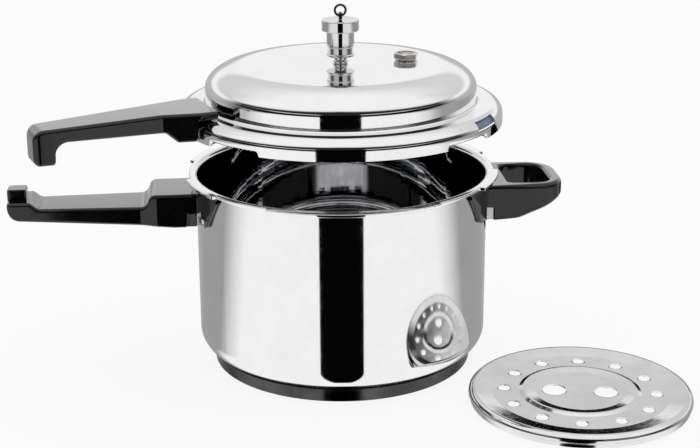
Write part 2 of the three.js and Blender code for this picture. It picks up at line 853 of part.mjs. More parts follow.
function weightPin() {
  return turned([
    [0, pinTip],
    [pinRadius, pinShoulder],
    [pinRadius, pinTop],
    [0, pinTop],
  ], smallSegments);
}

function weightCap() {
  const socketTop = weightTop + weightSpigotHeight + seatGap;
  return turned([
    [0, socketTop],
    [weightSpigotRadius + fitGap, socketTop],
    [weightSpigotRadius + fitGap, capBottom],
    [weightCapRadius - weightCapEdge, capBottom],
    [weightCapRadius, capBottom + weightCapEdge],
    [weightCapRadius, capTop - weightCapEdge],
    [weightCapRadius - weightCapEdge, capTop],
    [0, capTop],
  ], smallSegments);
}

const eyeBottom = capTop + seatGap;
const eyeHoleRadius = ringWire + eyePlay;
const eyeHalfWidth = eyeHoleRadius + eyeWall;
const eyeHole = eyeBottom + eyeWall + eyeHoleRadius;

function weightEye() {
  const top = eyeHole + eyeHoleRadius + eyeWall;
  const shape = outline([
    [-eyeHalfWidth, eyeBottom],
    [eyeHalfWidth, eyeBottom],
    [eyeHalfWidth, top, eyeRound],
    [-eyeHalfWidth, top, eyeRound],
  ]);
  const hole = new THREE.Path();
  hole.absarc(0, eyeHole, eyeHoleRadius, 0, 2 * Math.PI, true);
  shape.holes.push(hole);
  return sideways(shape, eyeThickness / 2, Math.PI / 2);
}

function weightRing() {
  const ring = new THREE.TorusGeometry(ringRadius, ringWire, wireSegments, 2 * holeSegments);
  return solid(ring.rotateX(Math.PI / 2).translate(0, 0, eyeHole + ringRadius));
}

function safetyBody() {
  const headBottom = seatGap + safetyWaistHeight;
  const stem = turned([
    [0, -safetyThreadLength],
    [safetyThreadRadius, -safetyThreadLength],
    [safetyThreadRadius, seatGap],
    [safetyWaistRadius, seatGap],
    [safetyWaistRadius, safetyHeight],
    [0, safetyHeight],
  ], smallSegments);
  const turnedOff = turned([
    [0, headBottom],
    [safetyHeadRadius, headBottom],
    [safetyHeadRadius, safetyHeight - safetyEdge],
    [safetyWaistRadius, safetyHeight],
    [0, safetyHeight],
  ]);
  const head = hexagon(safetyHeadRadius, safetyHeadTurn, headBottom, safetyHeight);
  return head
    .intersect(turnedOff)
    .add(stem)
    .subtract(disc(safetyCupRadius, safetyHeight - safetyCupDepth, safetyHeight + overcut))
    .subtract(disc(plugRadius + seatGap, -safetyThreadLength - overcut, safetyHeight + overcut));
}

function fusiblePlug() {
  const top = safetyHeight - safetyCupDepth + plugProud;
  return disc(plugRadius, -safetyThreadLength, top);
}

// Cooking grid, with heights from the floor

// The grid's upper side, or the same skin at a depth below it.
function gridSkin(depth) {
  const rimInner = gridRadius - gridRimWidth;
  const flatOuter = rimInner - gridRimSlope;
  const flat = gridHeight - gridSink - depth;
  const beadOuter = gridBeadRadius + gridBeadOutside;
  const beadInner = gridBeadRadius - gridBeadInside;
  return [
    [0, flat],
    [beadInner, flat],
    [gridBeadRadius - gridBeadCrown, flat + gridBeadHeight],
    [gridBeadRadius + gridBeadCrown, flat + gridBeadHeight],
    [beadOuter, flat],
    [flatOuter, flat],
    [rimInner, gridHeight - depth],
    ...arc(gridRadius - gridEdgeRound, gridHeight - gridEdgeRound, gridEdgeRound - depth, 90, 0),
    [gridRadius - depth, gridSkirtHeight],
    [gridRadius - gridSkirtStep - depth, gridSkirtHeight - gridSkirtStep],
    [gridRadius - gridSkirtStep - depth, 0],
  ];
}

function cookingGrid() {
  const plate = turned([...gridSkin(0), ...gridSkin(gridSheet).reverse()]);
  const pierce = (radius, segments, place) => disc(radius, -overcut, gridHeight + overcut, segments, place);
  const smallHoles = Array.from({ length: gridHoleCount }, (_, i) => (360 * i) / gridHoleCount)
    .map((angle) => pierce(gridHoleRadius, holeSegments, fromFront(gridHoleCircle, angle)));
  const fingerHoles = [1, -1].map((side) => (
    pierce(gridFingerHoleRadius, smallSegments, [(side * gridFingerHoleSpacing) / 2, 0])
  ));
  return [...smallHoles, ...fingerHoles].reduce((body, hole) => body.subtract(hole), plate);
}

// Assembly

const cooker = new THREE.Group();

// A group in another, turned about the upright axis by an angle in degrees.
function addGroup(parent, x, y, z, turn = 0) {
  const group = new THREE.Group();
  group.position.set(x, y, z);
  group.rotation.z = THREE.MathUtils.degToRad(turn);
  parent.add(group);
  return group;
}

addPiece(cooker, 'pot_body', potBody(), polishedSteel);
addPiece(cooker, 'base_core', baseCore(), aluminium);
addPiece(cooker, 'base_cap', baseCap(), polishedSteel);

const potHandleSide = addGroup(cooker, 0, 0, 0, 180);
const platePlace = [potHeight - plateBottom, potHeight - plateTop];
const potPlate = bracket(potRadius, potPlateAngle, ...platePlace, potTongue);
const potBracket = potPlate.add(ears(potBlockHalfWidth, potFootOpening));
addPiece(potHandleSide, 'pot_handle_bracket', potBracket, satinSteel);
addPiece(potHandleSide, 'pot_handle', potHandle(), bakelite);
const potScrew = screw(potScrewHead, potScrewTip, potTongue.screws[0]);
addPiece(potHandleSide, 'pot_handle_screw', potScrew, satinSteel);

const helperPlate = bracket(potRadius, helperPlateAngle, ...platePlace, helperTongue);
const helperBracket = helperPlate.add(ears(helperHalfWidth, helperFootOpening));
addPiece(cooker, 'helper_bracket', helperBracket, satinSteel);
addPiece(cooker, 'helper_handle', helperHandle(), bakelite);
['rear', 'front'].forEach((place, i) => {
  const body = screw(helperScrewHead, helperScrewTip, helperTongue.screws[i]);
  addPiece(cooker, `helper_screw_${place}`, body, satinSteel);
});

const lid = addGroup(cooker, 0, 0, flangeClosed + lidLift);
addPiece(lid, 'gasket', gasket(), sealRubber);
addPiece(lid, 'lid_shell', lidShell(), polishedSteel);

const lidHandleSide = addGroup(lid, 0, 0, 0, 180 + unlockAngle);
const lidPlate = [lidPlateAngle, -lidBlockBottom, lidTongueTop];
addPiece(lidHandleSide, 'lid_handle_bracket', bracket(skirtRadius, ...lidPlate, lidTongue), satinSteel);
addPiece(lidHandleSide, 'lid_handle', lidHandle(), bakelite);
const lidScrew = screw(lidScrewHead, lidScrewTip, lidTongue.screws[0]);
addPiece(lidHandleSide, 'lid_handle_screw', lidScrew, satinSteel);

const vent = addGroup(lid, 0, 0, domeHeight);
addPiece(vent, 'vent_tube', ventTube(), polishedSteel);
addPiece(vent, 'vent_washer', washer(ventThreadRadius, washerTop), washerRubber);
addPiece(vent, 'vent_nut', nut(ventNutRadius, ventThreadRadius, nutTop), satinSteel);
addPiece(vent, 'weight_body', weightBody(), polishedSteel);
addPiece(vent, 'weight_pin', weightPin(), satinSteel);
addPiece(vent, 'weight_cap', weightCap(), polishedSteel);
addPiece(vent, 'weight_eye', weightEye(), satinSteel);
addPiece(vent, 'weight_ring', weightRing(), satinSteel);

const safety = addGroup(lid, ...safetyPlace, domeHeight);
addPiece(safety, 'safety_valve_body', safetyBody(), polishedSteel);
addPiece(safety, 'fusible_plug', fusiblePlug(), brass);
addPiece(safety, 'safety_washer', washer(safetyThreadRadius, washerTop), washerRubber);
addPiece(safety, 'safety_nut', nut(safetyNutRadius, safetyThreadRadius, nutTop), satinSteel);

const gridDistance = potRadius + gridGap + gridRadius;
const gridPlace = addGroup(cooker, ...fromFront(gridDistance, gridDirection), 0, gridTurn);
addPiece(gridPlace, 'cooking_grid', cookingGrid(), polishedSteel);

export default cooker;
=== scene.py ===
import json
import math

import bmesh
import bpy
import numpy as np
from mathutils import Matrix, Vector


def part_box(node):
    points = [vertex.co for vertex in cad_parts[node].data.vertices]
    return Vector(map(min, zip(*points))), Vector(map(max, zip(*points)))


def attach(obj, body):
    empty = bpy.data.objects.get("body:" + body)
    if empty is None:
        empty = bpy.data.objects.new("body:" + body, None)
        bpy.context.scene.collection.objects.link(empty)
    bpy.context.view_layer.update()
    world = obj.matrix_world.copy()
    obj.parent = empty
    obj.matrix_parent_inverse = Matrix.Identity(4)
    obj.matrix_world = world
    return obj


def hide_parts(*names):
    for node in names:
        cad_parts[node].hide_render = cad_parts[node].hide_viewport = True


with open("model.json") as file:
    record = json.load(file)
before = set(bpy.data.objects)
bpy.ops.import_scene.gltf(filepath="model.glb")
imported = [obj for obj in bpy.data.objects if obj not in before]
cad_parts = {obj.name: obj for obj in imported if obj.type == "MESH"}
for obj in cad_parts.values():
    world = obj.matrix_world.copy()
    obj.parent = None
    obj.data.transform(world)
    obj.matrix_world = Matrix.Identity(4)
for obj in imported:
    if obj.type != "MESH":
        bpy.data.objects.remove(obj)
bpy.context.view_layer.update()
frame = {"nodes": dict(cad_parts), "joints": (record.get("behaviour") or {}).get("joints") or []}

# An outer-lid pressure cooker in mirror-polished steel with black bakelite handles.
# Shapes are worked out in millimetres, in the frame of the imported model, and become metres as pieces.

MM = 0.001


def node_box(node):
    """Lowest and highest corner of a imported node, in millimetres."""
    low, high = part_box(node)
    return low / MM, high / MM


# Places read from the frame
POT_LOW, POT_HIGH = node_box("pot_body")
BASE_HIGH = node_box("base_cap")[1]
LID_LOW, LID_HIGH = node_box("lid_shell")
VENT_LOW, VENT_HIGH = node_box("vent_tube")
WEIGHT_LOW, WEIGHT_HIGH = node_box("weight_body")
WEIGHT_CAP_LOW, WEIGHT_CAP_HIGH = node_box("weight_cap")
RING_LOW, RING_HIGH = node_box("weight_ring")
SAFETY_LOW, SAFETY_HIGH = node_box("safety_valve_body")
PLUG_LOW, PLUG_HIGH = node_box("fusible_plug")
GRID_LOW, GRID_HIGH = node_box("cooking_grid")
RIM = POT_HIGH.z
LID_TURN = next(joint["range_deg"][1] for joint in frame["joints"] if joint["name"] == "lid_twist")

# Roundness: columns of turned pieces, steps of arcs, and the share of a side that its two arcs may fill
LARGE_COLUMNS = 192
SMALL_COLUMNS = 64
LEAST_STEPS = 4
MOST_STEPS = 24
BEND_STEPS = 5
EDGE_STEPS = 8
ROOM_USED = 0.98
FINE_EDGE = 0.3
SHARP_ANGLE = 38

# Room between pieces that lie on each other, and the length by which a cut passes its piece
SEAT_GAP = 0.3
OVERCUT = 2

# Pot
POT_RADIUS = 111
POT_WALL = 1.5
POT_CORNER = 16
RIM_THICKNESS = 2.5
RIM_NECK = 116
RIM_LUG = POT_HIGH.y
RIM_FILLET = 2.5
RIM_ROUND = 3.4
RIM_EDGE = 0.7
NOTCH_ANGLES = (44, 93, 136)
NOTCH_WIDTH = 24.5
NOTCH_SLOPE = 0.8

# Base
BASE_RADIUS = 100
BASE_LIP = BASE_HIGH.x
BASE_LIP_HEIGHT = 1.4
BASE_EDGE = 1.0
BASE_WALL = 1.2

# Lid
LID_TOP = LID_HIGH.z
FLANGE = LID_TOP - 27.6
SKIRT_RADIUS = LID_HIGH.x
LID_SHEET = 1.4
DOME_RADIUS = 102
DOME_SHOULDER_WIDTH = 28
DOME_SHOULDER_HEIGHT = 17
SHOULDER_STEPS = 20
DOME_ROOT = 2
FLANGE_ROUND = 8.5
FLANGE_STEPS = 24
LUG_TIP = 116.7
LUG_BOTTOM = FLANGE - 12
LUG_BEND = 2.6
LUG_HALF_WIDTH = 10.25
LUG_SLOPE = 1.6
LUG_STEPS = 6
WINDOW_FROM = 49
WINDOW_TO = 62.5
WINDOW_LOW = 3.7
WINDOW_HIGH = 60.1
ANGLE_SLACK = 0.01
VENT_HOLE = 4.4
SAFETY_HOLE = 5.4

# Handles, measured outwards from the pot's wall and down from its rim
WALL_FACE = POT_RADIUS + 0.4
HANDLE_START = WALL_FACE + 0.6
PLATE_FACE = WALL_FACE + 1.7
PLATE_TOP = RIM - 13.1
WING_FACE = WALL_FACE + 2.2
WING_TOP = RIM - 5.5
WING_BOTTOM = RIM - 32
WING_UPRIGHT = 3
WING_SLANT = 15
WING_CORNER = 6
WING_EDGE = 0.8
WING_SPACING = 3.0
OPENING_TOP = RIM - 26
OPENING_ARC = 9
OPENING_DEPTH = 4
OPENING_OVERLAP = 0.5
FOOT_INSIDE = POT_RADIUS - 5
SECTOR_COLUMNS = 9
SCREW_HEAD = 4.2
SCREW_ROOM = 17
SEAT_FADE = 24
HANDLE_EDGE = 2.6

# Rounding of the handles' corners, from crisp to sweeping
ROUND_CRISP = 1.5
ROUND_SMALL = 2
ROUND_CORNER = 2.5
ROUND_SOFT = 4
ROUND_TIP = 5
ROUND_BEND = 6
ROUND_SWEEP = 8
ROUND_HEEL = 10

# Photograph's camera
AIM = Vector((0.00643, -0.0006, 0.1046))
CAMERA_DISTANCE = 1.2
CAMERA_ELEVATION = 18.2
CAMERA_AZIMUTH = -5.3
CAMERA_ROLL = -0.286
CAMERA_LENS = 79.7
CAMERA_REACH = 50
SENSOR = 36


# Outlines and meshes

def arc(centre_a, centre_b, radius, start, end, steps):
    """Points of an arc, with its angles in degrees."""
    angles = np.radians(np.linspace(start, end, steps + 1))
    return [(centre_a + radius * math.cos(t), centre_b + radius * math.sin(t)) for t in angles]


def rounded(corners, closed=False):
    """Points of an outline with rounded corners (a, b, radius, steps); radius and steps may be left out."""
    count = len(corners)
    ends = () if closed else (0, count - 1)
    places = [Vector(corner[:2]) for corner in corners]
    backs = [places[index - 1] - places[index] for index in range(count)]
    aheads = [places[(index + 1) % count] - places[index] for index in range(count)]
    plain = [len(corner) == 2 or index in ends for index, corner in enumerate(corners)]
    halves = [1 if plain[index] else backs[index].angle(aheads[index]) / 2 for index in range(count)]
    wanted = [0 if plain[index] else corners[index][2] / math.tan(halves[index]) for index in range(count)]
    points = []
    for index, here in enumerate(places):
        if plain[index]:
            points.append(tuple(here))
            continue
        room_back = backs[index].length / (wanted[index] + wanted[index - 1])
        room_ahead = aheads[index].length / (wanted[index] + wanted[(index + 1) % count])
        tangent = wanted[index] * min(1, ROOM_USED * room_back, ROOM_USED * room_ahead)
        from_here = backs[index].normalized() * tangent
        to_there = aheads[index].normalized() * tangent
        middle = (from_here + to_there).normalized()
        centre = here + middle * (tangent / math.cos(halves[index]))
        start = here + from_here - centre
        sweep = start.angle_signed(here + to_there - centre)
        radius = corners[index][2]
        steps = corners[index][3] if len(corners[index]) > 3 else min(MOST_STEPS, LEAST_STEPS + int(radius))
        for step in range(steps + 1):
            points.append(tuple(centre + Matrix.Rotation(-sweep * step / steps, 2) @ start))
    return points


def rounded_box(left, right, low, high, edge):
    corners = [(left, low), (right, low), (right, high), (left, high)]
    return rounded([(*corner, edge) for corner in corners], closed=True)


def turned_by(degrees):
    return Matrix.Rotation(math.radians(degrees), 4, "Z")


def even_columns(count):
    return [360 * index / count for index in range(count)]


def columns_with(marks, count=LARGE_COLUMNS, clear=0.9):
    """Even columns, in degrees from the front, with marked angles in place of the ones near them."""
    wanted = sorted(mark % 360 for mark in marks)
    apart = [
        angle for angle in even_columns(count)
        if all(abs((angle - mark + 180) % 360 - 180) > clear for mark in wanted)
    ]
    return sorted(apart + wanted)


def face_outwards(mesh):
    bmesh.ops.recalc_face_normals(mesh, faces=mesh.faces)


def turned(profile_at, angles, ring=False, keep=None):
    """A mesh from a profile of (radius, height) points, carried round the upright axis."""
    mesh = bmesh.new()
    columns = []
    for angle in angles:
        across = math.sin(math.radians(angle))
        along = -math.cos(math.radians(angle))
        columns.append([mesh.verts.new((r * across, r * along, z)) for r, z in profile_at(angle)])
    for index, column in enumerate(columns):
        beside = columns[(index + 1) % len(columns)]
        spans = len(column) if ring else len(column) - 1
        for low in range(spans):
            high = (low + 1) % len(column)
            corners = (column[low], beside[low], beside[high], column[high])
            if keep is None or keep(angles[index], column[low].co, column[high].co):
                mesh.faces.new(corners)
    bmesh.ops.remove_doubles(mesh, verts=mesh.verts, dist=1e-4)
    face_outwards(mesh)
    return mesh


def loft(rings, closed=False):
    """A mesh through rings of points; its two ends are capped, or it closes on itself."""
    mesh = bmesh.new()
    rows = [[mesh.verts.new(point) for point in ring] for ring in rings]
    pairs = list(zip(rows, rows[1:]))
    if closed:
        pairs.append((rows[-1], rows[0]))
    for row, following in pairs:
        for index in range(len(row)):
            after = (index + 1) % len(row)
            mesh.faces.new((row[index], row[after], following[after], following[index]))
    if not closed:
        mesh.faces.new(rows[0])
        mesh.faces.new(rows[-1])
    face_outwards(mesh)
    return mesh


def as_object(name, mesh):
    data = bpy.data.meshes.new(name)
    mesh.to_mesh(data)
    mesh.free()
    made = bpy.data.objects.new(name, data)
    bpy.context.scene.collection.objects.link(made)
    return made


def combine(base, tool_mesh, operation):
    """Joins a mesh to an object or cuts it out."""
    tool = as_object("tool", tool_mesh)
    modifier = base.modifiers.new("combine", "BOOLEAN")
    modifier.object = tool
    modifier.operation = operation
    modifier.solver = "EXACT"
    result = bpy.data.meshes.new_from_object(base.evaluated_get(bpy.context.evaluated_depsgraph_get()))
    base.modifiers.clear()
    base.data = result
    bpy.data.objects.remove(tool)


def dress(made, body, slot, material, *nodes):
    """Scales a piece to metres, shades it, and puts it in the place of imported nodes."""
    made.data.transform(Matrix.Scale(MM, 4))
    made.data.materials.clear()
    made.data.materials.append(material)
    made.data.shade_smooth()
    made.data.set_sharp_from_angle(angle=math.radians(SHARP_ANGLE))
    weighted = made.modifiers.new("even_normals", "WEIGHTED_NORMAL")
    weighted.keep_sharp = True
    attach(made, body)
    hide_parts(*nodes)
    return made


def line_inside(made, material, is_inside):
    """Gives the faces on the inside of a shell their own finish: a darker copy of the steel as painted shade,
    with a smoother, streaked polish.
    """
    made.data.materials.append(material)
    for face in made.data.polygons:
        place = face.center / MM
        outwards = place.xy.normalized().dot(face.normal.xy)
        if is_inside(place.xy.length, outwards, face.normal.z):
            face.material_index = 1


def block(low, high):
    mesh = bmesh.new()
    bmesh.ops.create_cube(mesh, size=1)
    size = Vector(high) - Vector(low)
    mesh.transform(Matrix.Translation((Vector(low) + Vector(high)) / 2) @ Matrix.Diagonal((*size, 1)))
    return mesh


def small_turned(profile, place=(0, 0), ring=False):
    mesh = turned(lambda angle: profile, even_columns(SMALL_COLUMNS), ring)
    mesh.transform(Matrix.Translation((*place, 0)))
    return mesh


def drum(radius, bottom, top, place):
    return small_turned([(0, bottom), (radius, bottom), (radius, top), (0, top)], place)


# Node materials

# Noise in waves per metre, and the depth of its bumps in metres
CLOUDS = {"scale": 38, "detail": 4, "roughness": 0.6}
FINE_LINES = {"scale": 260, "detail": 2, "roughness": 0.5}
MOTTLE = {"scale": 55, "detail": 5, "roughness": 0.6}
WAVE_DEPTH = 0.001
PEEL_DEPTH = 0.0004

# Stretch of the noise along the axes
EVEN = (1, 1, 1)
HOOPS = (0.03, 0.03, 1)
TURNED_LINES = (0.05, 0.05, 1)
BRUSHED_LINES = (1, 0.04, 0.04)
STREAKS = (1, 1, 0.12)


def material_tree(name):
    material = bpy.data.materials.new(name)
    material.use_nodes = True
    tree = material.node_tree
    return material, tree, tree.nodes["Principled BSDF"]


def add_node(tree, kind, inputs=None, **settings):
    """A node with its settings and its fixed or linked inputs."""
    node = tree.nodes.new(kind)
    for key, value in settings.items():
        setattr(node, key, value)
    for key, value in (inputs or {}).items():
        if isinstance(value, bpy.types.NodeSocket):
            tree.links.new(value, node.inputs[key])
        else:
            node.inputs[key].default_value = value
    return node


def position(tree, stretch=EVEN):
    """The place on the object in metres, stretched along the axes."""
    coordinates = add_node(tree, "ShaderNodeTexCoord")
    mapping = add_node(tree, "ShaderNodeMapping", {"Vector": coordinates.outputs["Object"], "Scale": stretch})
    return mapping.outputs["Vector"]


def noise(tree, vector, scale, detail, roughness):
    inputs = {"Vector": vector, "Scale": scale, "Detail": detail, "Roughness": roughness}
    return add_node(tree, "ShaderNodeTexNoise", inputs).outputs["Fac"]


def ramp(tree, factor, stops):
    """A colour or grey ramp from (position, value) stops."""
    node = add_node(tree, "ShaderNodeValToRGB", {"Fac": factor})
    elements = node.color_ramp.elements
    while len(elements) < len(stops):
        elements.new(0.5)
    for element, (place, value) in zip(elements, stops):
        element.position = place
        element.color = (*value, 1) if isinstance(value, tuple) else (value, value, value, 1)
    return node.outputs["Color"]


def bump(tree, height, strength, distance):
    inputs = {"Height": height, "Strength": strength, "Distance": distance}
    return add_node(tree, "ShaderNodeBump", inputs).outputs["Normal"]


def steel(name, dark, light, smooth, rough, grain, wave_scale, wave, wave_stretch=EVEN):
    """Bright steel: faint cloudiness, fine polishing lines and the slight waves of a pressed sheet."""
    material, tree, shader = material_tree(name)
    cloud = noise(tree, position(tree), **CLOUDS)
    lines = noise(tree, position(tree, grain), **FINE_LINES)
    waves = noise(tree, position(tree, wave_stretch), wave_scale, detail=1, roughness=0.4)
    tree.links.new(ramp(tree, cloud, [(0.3, dark), (0.7, light)]), shader.inputs["Base Color"])
    spread = add_node(tree, "ShaderNodeMath", {0: cloud, 1: lines}, operation="MULTIPLY").outputs["Value"]
    tree.links.new(ramp(tree, spread, [(0.12, smooth), (0.42, rough)]), shader.inputs["Roughness"])
    tree.links.new(bump(tree, waves, wave, WAVE_DEPTH), shader.inputs["Normal"])
    shader.inputs["Metallic"].default_value = 1
    return material


def moulded(name, dark, light, smooth, rough, texture_scale, texture):
    """A moulded surface: mottled colour and gloss over a fine orange-peel texture."""
    material, tree, shader = material_tree(name)
    mottle = noise(tree, position(tree), **MOTTLE)
    peel = noise(tree, position(tree), texture_scale, detail=2, roughness=0.5)
    tree.links.new(ramp(tree, mottle, [(0.3, dark), (0.72, light)]), shader.inputs["Base Color"])
    tree.links.new(ramp(tree, mottle, [(0.3, smooth), (0.7, rough)]), shader.inputs["Roughness"])
    tree.links.new(bump(tree, peel, texture, PEEL_DEPTH), shader.inputs["Normal"])
    return material


def polish(material, roughness):
    """A clear polish that shows most at a flat angle."""
    tree = material.node_tree
    shader = tree.nodes["Principled BSDF"]
    facing = add_node(tree, "ShaderNodeLayerWeight", {"Blend": 0.5}).outputs["Facing"]
    tree.links.new(ramp(tree, facing, [(0.4, 0.0), (0.72, 1.0)]), shader.inputs["Coat Weight"])
    shader.inputs["Coat Roughness"].default_value = roughness


# Each finish: dark and light colour, roughness range, a metal's grain, its relief's scale and strength
polished = steel("polished_steel", (0.84, 0.84, 0.85), (0.89, 0.89, 0.895), 0.035, 0.075, HOOPS, 26, 0.012)
pressed = steel("pressed_steel", (0.74, 0.74, 0.75), (0.86, 0.86, 0.865), 0.07, 0.15, EVEN, 45, 0.2)
valve = steel("valve_chrome", (0.66, 0.66, 0.67), (0.79, 0.79, 0.80), 0.05, 0.12, TURNED_LINES, 90, 0.02)
nickel = steel("safety_nickel", (0.66, 0.65, 0.61), (0.84, 0.83, 0.79), 0.18, 0.3, EVEN, 90, 0.02)
satin = steel("satin_steel", (0.60, 0.60, 0.61), (0.70, 0.70, 0.71), 0.2, 0.36, BRUSHED_LINES, 120, 0.03)
aluminium = steel("core_aluminium", (0.66, 0.66, 0.68), (0.76, 0.76, 0.77), 0.3, 0.48, HOOPS, 90, 0.05)
brass = steel("plug_brass", (0.50, 0.46, 0.38), (0.64, 0.59, 0.50), 0.2, 0.36, EVEN, 200, 0.08)
# The base cap's near-black colour is painted shade, not the colour of the cap's own steel
base_steel_painted_shade = steel("base_steel_painted_shade", (0.05, 0.05, 0.052), (0.10, 0.10, 0.102), 0.1, 0.2, HOOPS, 40, 0.03)
dark_wire = steel("dark_wire", (0.05, 0.05, 0.052), (0.11, 0.11, 0.112), 0.18, 0.3, EVEN, 200, 0.05)
# The inside steel is a darker copy of the polished steel, painted shade inside the pot and lid, with a
# smoother, streaked polish
inside_steel_painted_shade = steel(
    "inside_steel_painted_shade", (0.72, 0.72, 0.73), (0.84, 0.84, 0.85), 0.012, 0.035, STREAKS, 70, 0.05, STREAKS
)
bakelite = moulded("bakelite", (0.003, 0.003, 0.0035), (0.006, 0.006, 0.007), 0.06, 0.11, 900, 0.006)
polish(bakelite, 0.05)
seal = moulded("seal_rubber", (0.15, 0.20, 0.31), (0.22, 0.28, 0.40), 0.5, 0.68, 1400, 0.2)
washer = moulded("washer_rubber", (0.022, 0.022, 0.022), (0.045, 0.045, 0.045), 0.6, 0.8, 1600, 0.3)


# Pot and base

# Share of a face's normal that has to point inwards for the inside finish, which is darker as painted shade
WALL_FACING = 0.7
LID_FACING = 0.3


def smooth_step(value):
    value = min(1, max(0, value))
    return value * value * (3 - 2 * value)


def away_from(angle, places):
    """Degrees from an angle to the nearest of some places on the left or right."""
    return min(abs((angle - side * place + 180) % 360 - 180) for place in places for side in (1, -1))


def edge_marks(places, half_width, slope):
    """Column angles that carry the sloping sides of notches or lugs."""
    offsets = np.linspace(-slope / 2, slope / 2, BEND_STEPS)
    return [
        side * place + edge * half_width + offset
        for place in places for side in (1, -1) for edge in (1, -1) for offset in offsets
    ]


def pot_profile(angle):
    in_lug = smooth_step((away_from(angle, NOTCH_ANGLES) - NOTCH_WIDTH / 2) / NOTCH_SLOPE + 0.5)
    reach = RIM_NECK + (RIM_LUG - RIM_NECK) * in_lug
    inside = POT_RADIUS - POT_WALL
    floor = POT_LOW.z + POT_WALL
    return rounded([
        (0, POT_LOW.z),
        (POT_RADIUS, POT_LOW.z, POT_CORNER),
        (POT_RADIUS, RIM - RIM_THICKNESS, RIM_FILLET),
        (reach, RIM - RIM_THICKNESS, RIM_EDGE),
        (reach, RIM, RIM_EDGE),
        (inside, RIM, RIM_ROUND),
        (inside, floor, POT_CORNER - POT_WALL),
        (0, floor),
    ])


notch_marks = edge_marks(NOTCH_ANGLES, NOTCH_WIDTH / 2, NOTCH_SLOPE)
pot = as_object("pot", turned(pot_profile, columns_with(notch_marks)))
dress(pot, "pot", "polished_steel", polished, "pot_body")


def inside_pot(radius, outwards, upwards):
    return outwards < -WALL_FACING or (upwards > 0 and radius < POT_RADIUS - POT_WALL)


line_inside(pot, inside_steel_painted_shade, inside_pot)

base_profile = rounded([
    (0, 0),
    (BASE_RADIUS, 0, BASE_EDGE),
    (BASE_RADIUS, BASE_HIGH.z - BASE_LIP_HEIGHT, FINE_EDGE),
    (BASE_LIP, BASE_HIGH.z - BASE_LIP_HEIGHT, FINE_EDGE),
    (BASE_LIP, BASE_HIGH.z, FINE_EDGE),
    (BASE_RADIUS - BASE_WALL, BASE_HIGH.z),
    (BASE_RADIUS - BASE_WALL, BASE_WALL),
    (0, BASE_WALL),
])
base = as_object("base", turned(lambda angle: base_profile, even_columns(LARGE_COLUMNS)))
# The base cap takes the near-black steel, whose darkness is painted shade
dress(base, "pot", "polished_steel", base_steel_painted_shade, "base_cap")


# Lid and gasket

def dome_shoulder(depth):
    """The dome's shoulder, an arc that is wider than it is high."""
    width = DOME_SHOULDER_WIDTH - depth
    squash = (DOME_SHOULDER_HEIGHT - depth) / width
    centre = DOME_RADIUS - DOME_SHOULDER_WIDTH
    start = LID_TOP - DOME_SHOULDER_HEIGHT
    return [(centre + r, start + squash * z) for r, z in arc(0, 0, width, 90, 0, SHOULDER_STEPS)]


def lid_skin(depth):
    """The lid's outside down to its skirt, or the same skin at a depth below it."""
    flange = rounded([
        (DOME_RADIUS - depth, LID_TOP - DOME_SHOULDER_HEIGHT),
        (DOME_RADIUS - depth, FLANGE - depth, DOME_ROOT + depth, EDGE_STEPS),
        (SKIRT_RADIUS - depth, FLANGE - depth, FLANGE_ROUND - depth, FLANGE_STEPS),
        (SKIRT_RADIUS - depth, LID_LOW.z),
    ])
    return [(VENT_HOLE, LID_TOP - depth)] + dome_shoulder(depth) + flange[1:-1]


def skirt_skin(depth, in_lug):
    """The skirt below the flange, straight, or bent in to a lug."""
    radius = SKIRT_RADIUS - depth
    start = FLANGE - FLANGE_ROUND
    bent = rounded([
        (radius, start),
        (radius, LUG_BOTTOM + depth, LUG_BEND - depth, LUG_STEPS),
        (LUG_TIP, LUG_BOTTOM + depth),
    ])
    heights = np.linspace(start, LID_LOW.z, len(bent))
    mixed = [
        (radius + (r - radius) * in_lug, height + (z - height) * in_lug)
        for (r, z), height in zip(bent, heights)
    ]
    return mixed[1:]


def lid_profile(angle):
    in_lug = smooth_step((LUG_HALF_WIDTH - away_from(angle, NOTCH_ANGLES)) / LUG_SLOPE + 0.5)
    outside = lid_skin(0) + skirt_skin(0, in_lug)
    inside = lid_skin(LID_SHEET) + skirt_skin(LID_SHEET, in_lug)
    return outside + inside[::-1]


def outside_window(angle, low, high):
    """Whether a lid face lies outside the release window in the rounded edge of the flange."""
    if not WINDOW_FROM - ANGLE_SLACK <= angle < WINDOW_TO - ANGLE_SLACK:
        return True
    for corner in (low, high):
        outwards = math.hypot(corner.x, corner.y) - (SKIRT_RADIUS - FLANGE_ROUND)
        upwards = corner.z - (FLANGE - FLANGE_ROUND)
        bearing = math.degrees(math.atan2(upwards, outwards))
        if outwards < 0 or not WINDOW_LOW <= bearing <= WINDOW_HIGH:
            return True
    return False


lug_marks = edge_marks(NOTCH_ANGLES, LUG_HALF_WIDTH, LUG_SLOPE)
lid_columns = columns_with(lug_marks + [WINDOW_FROM, WINDOW_TO], clear=0.3)
lid_mesh = turned(lid_profile, lid_columns, ring=True, keep=outside_window)
window_edges = [edge for edge in lid_mesh.edges if edge.is_boundary]
bmesh.ops.bridge_loops(lid_mesh, edges=window_edges)
face_outwards(lid_mesh)
lid = as_object("lid", lid_mesh)
SAFETY_PLACE = ((SAFETY_LOW + SAFETY_HIGH) / 2).xy
combine(lid, drum(SAFETY_HOLE, LID_TOP - 3 * LID_SHEET, LID_TOP + LID_SHEET, SAFETY_PLACE), "DIFFERENCE")
dress(lid, "lid", "polished_steel", polished, "lid_shell")


def inside_lid(radius, outwards, upwards):
    return min(outwards, upwards) < -LID_FACING


line_inside(lid, inside_steel_painted_shade, inside_lid)

SEAL_LOW, SEAL_HIGH = node_box("gasket")
SEAL_INNER = 106
SEAL_ARC = 6.7
SEAL_STEPS = 16
SEAL_EDGE = 0.8


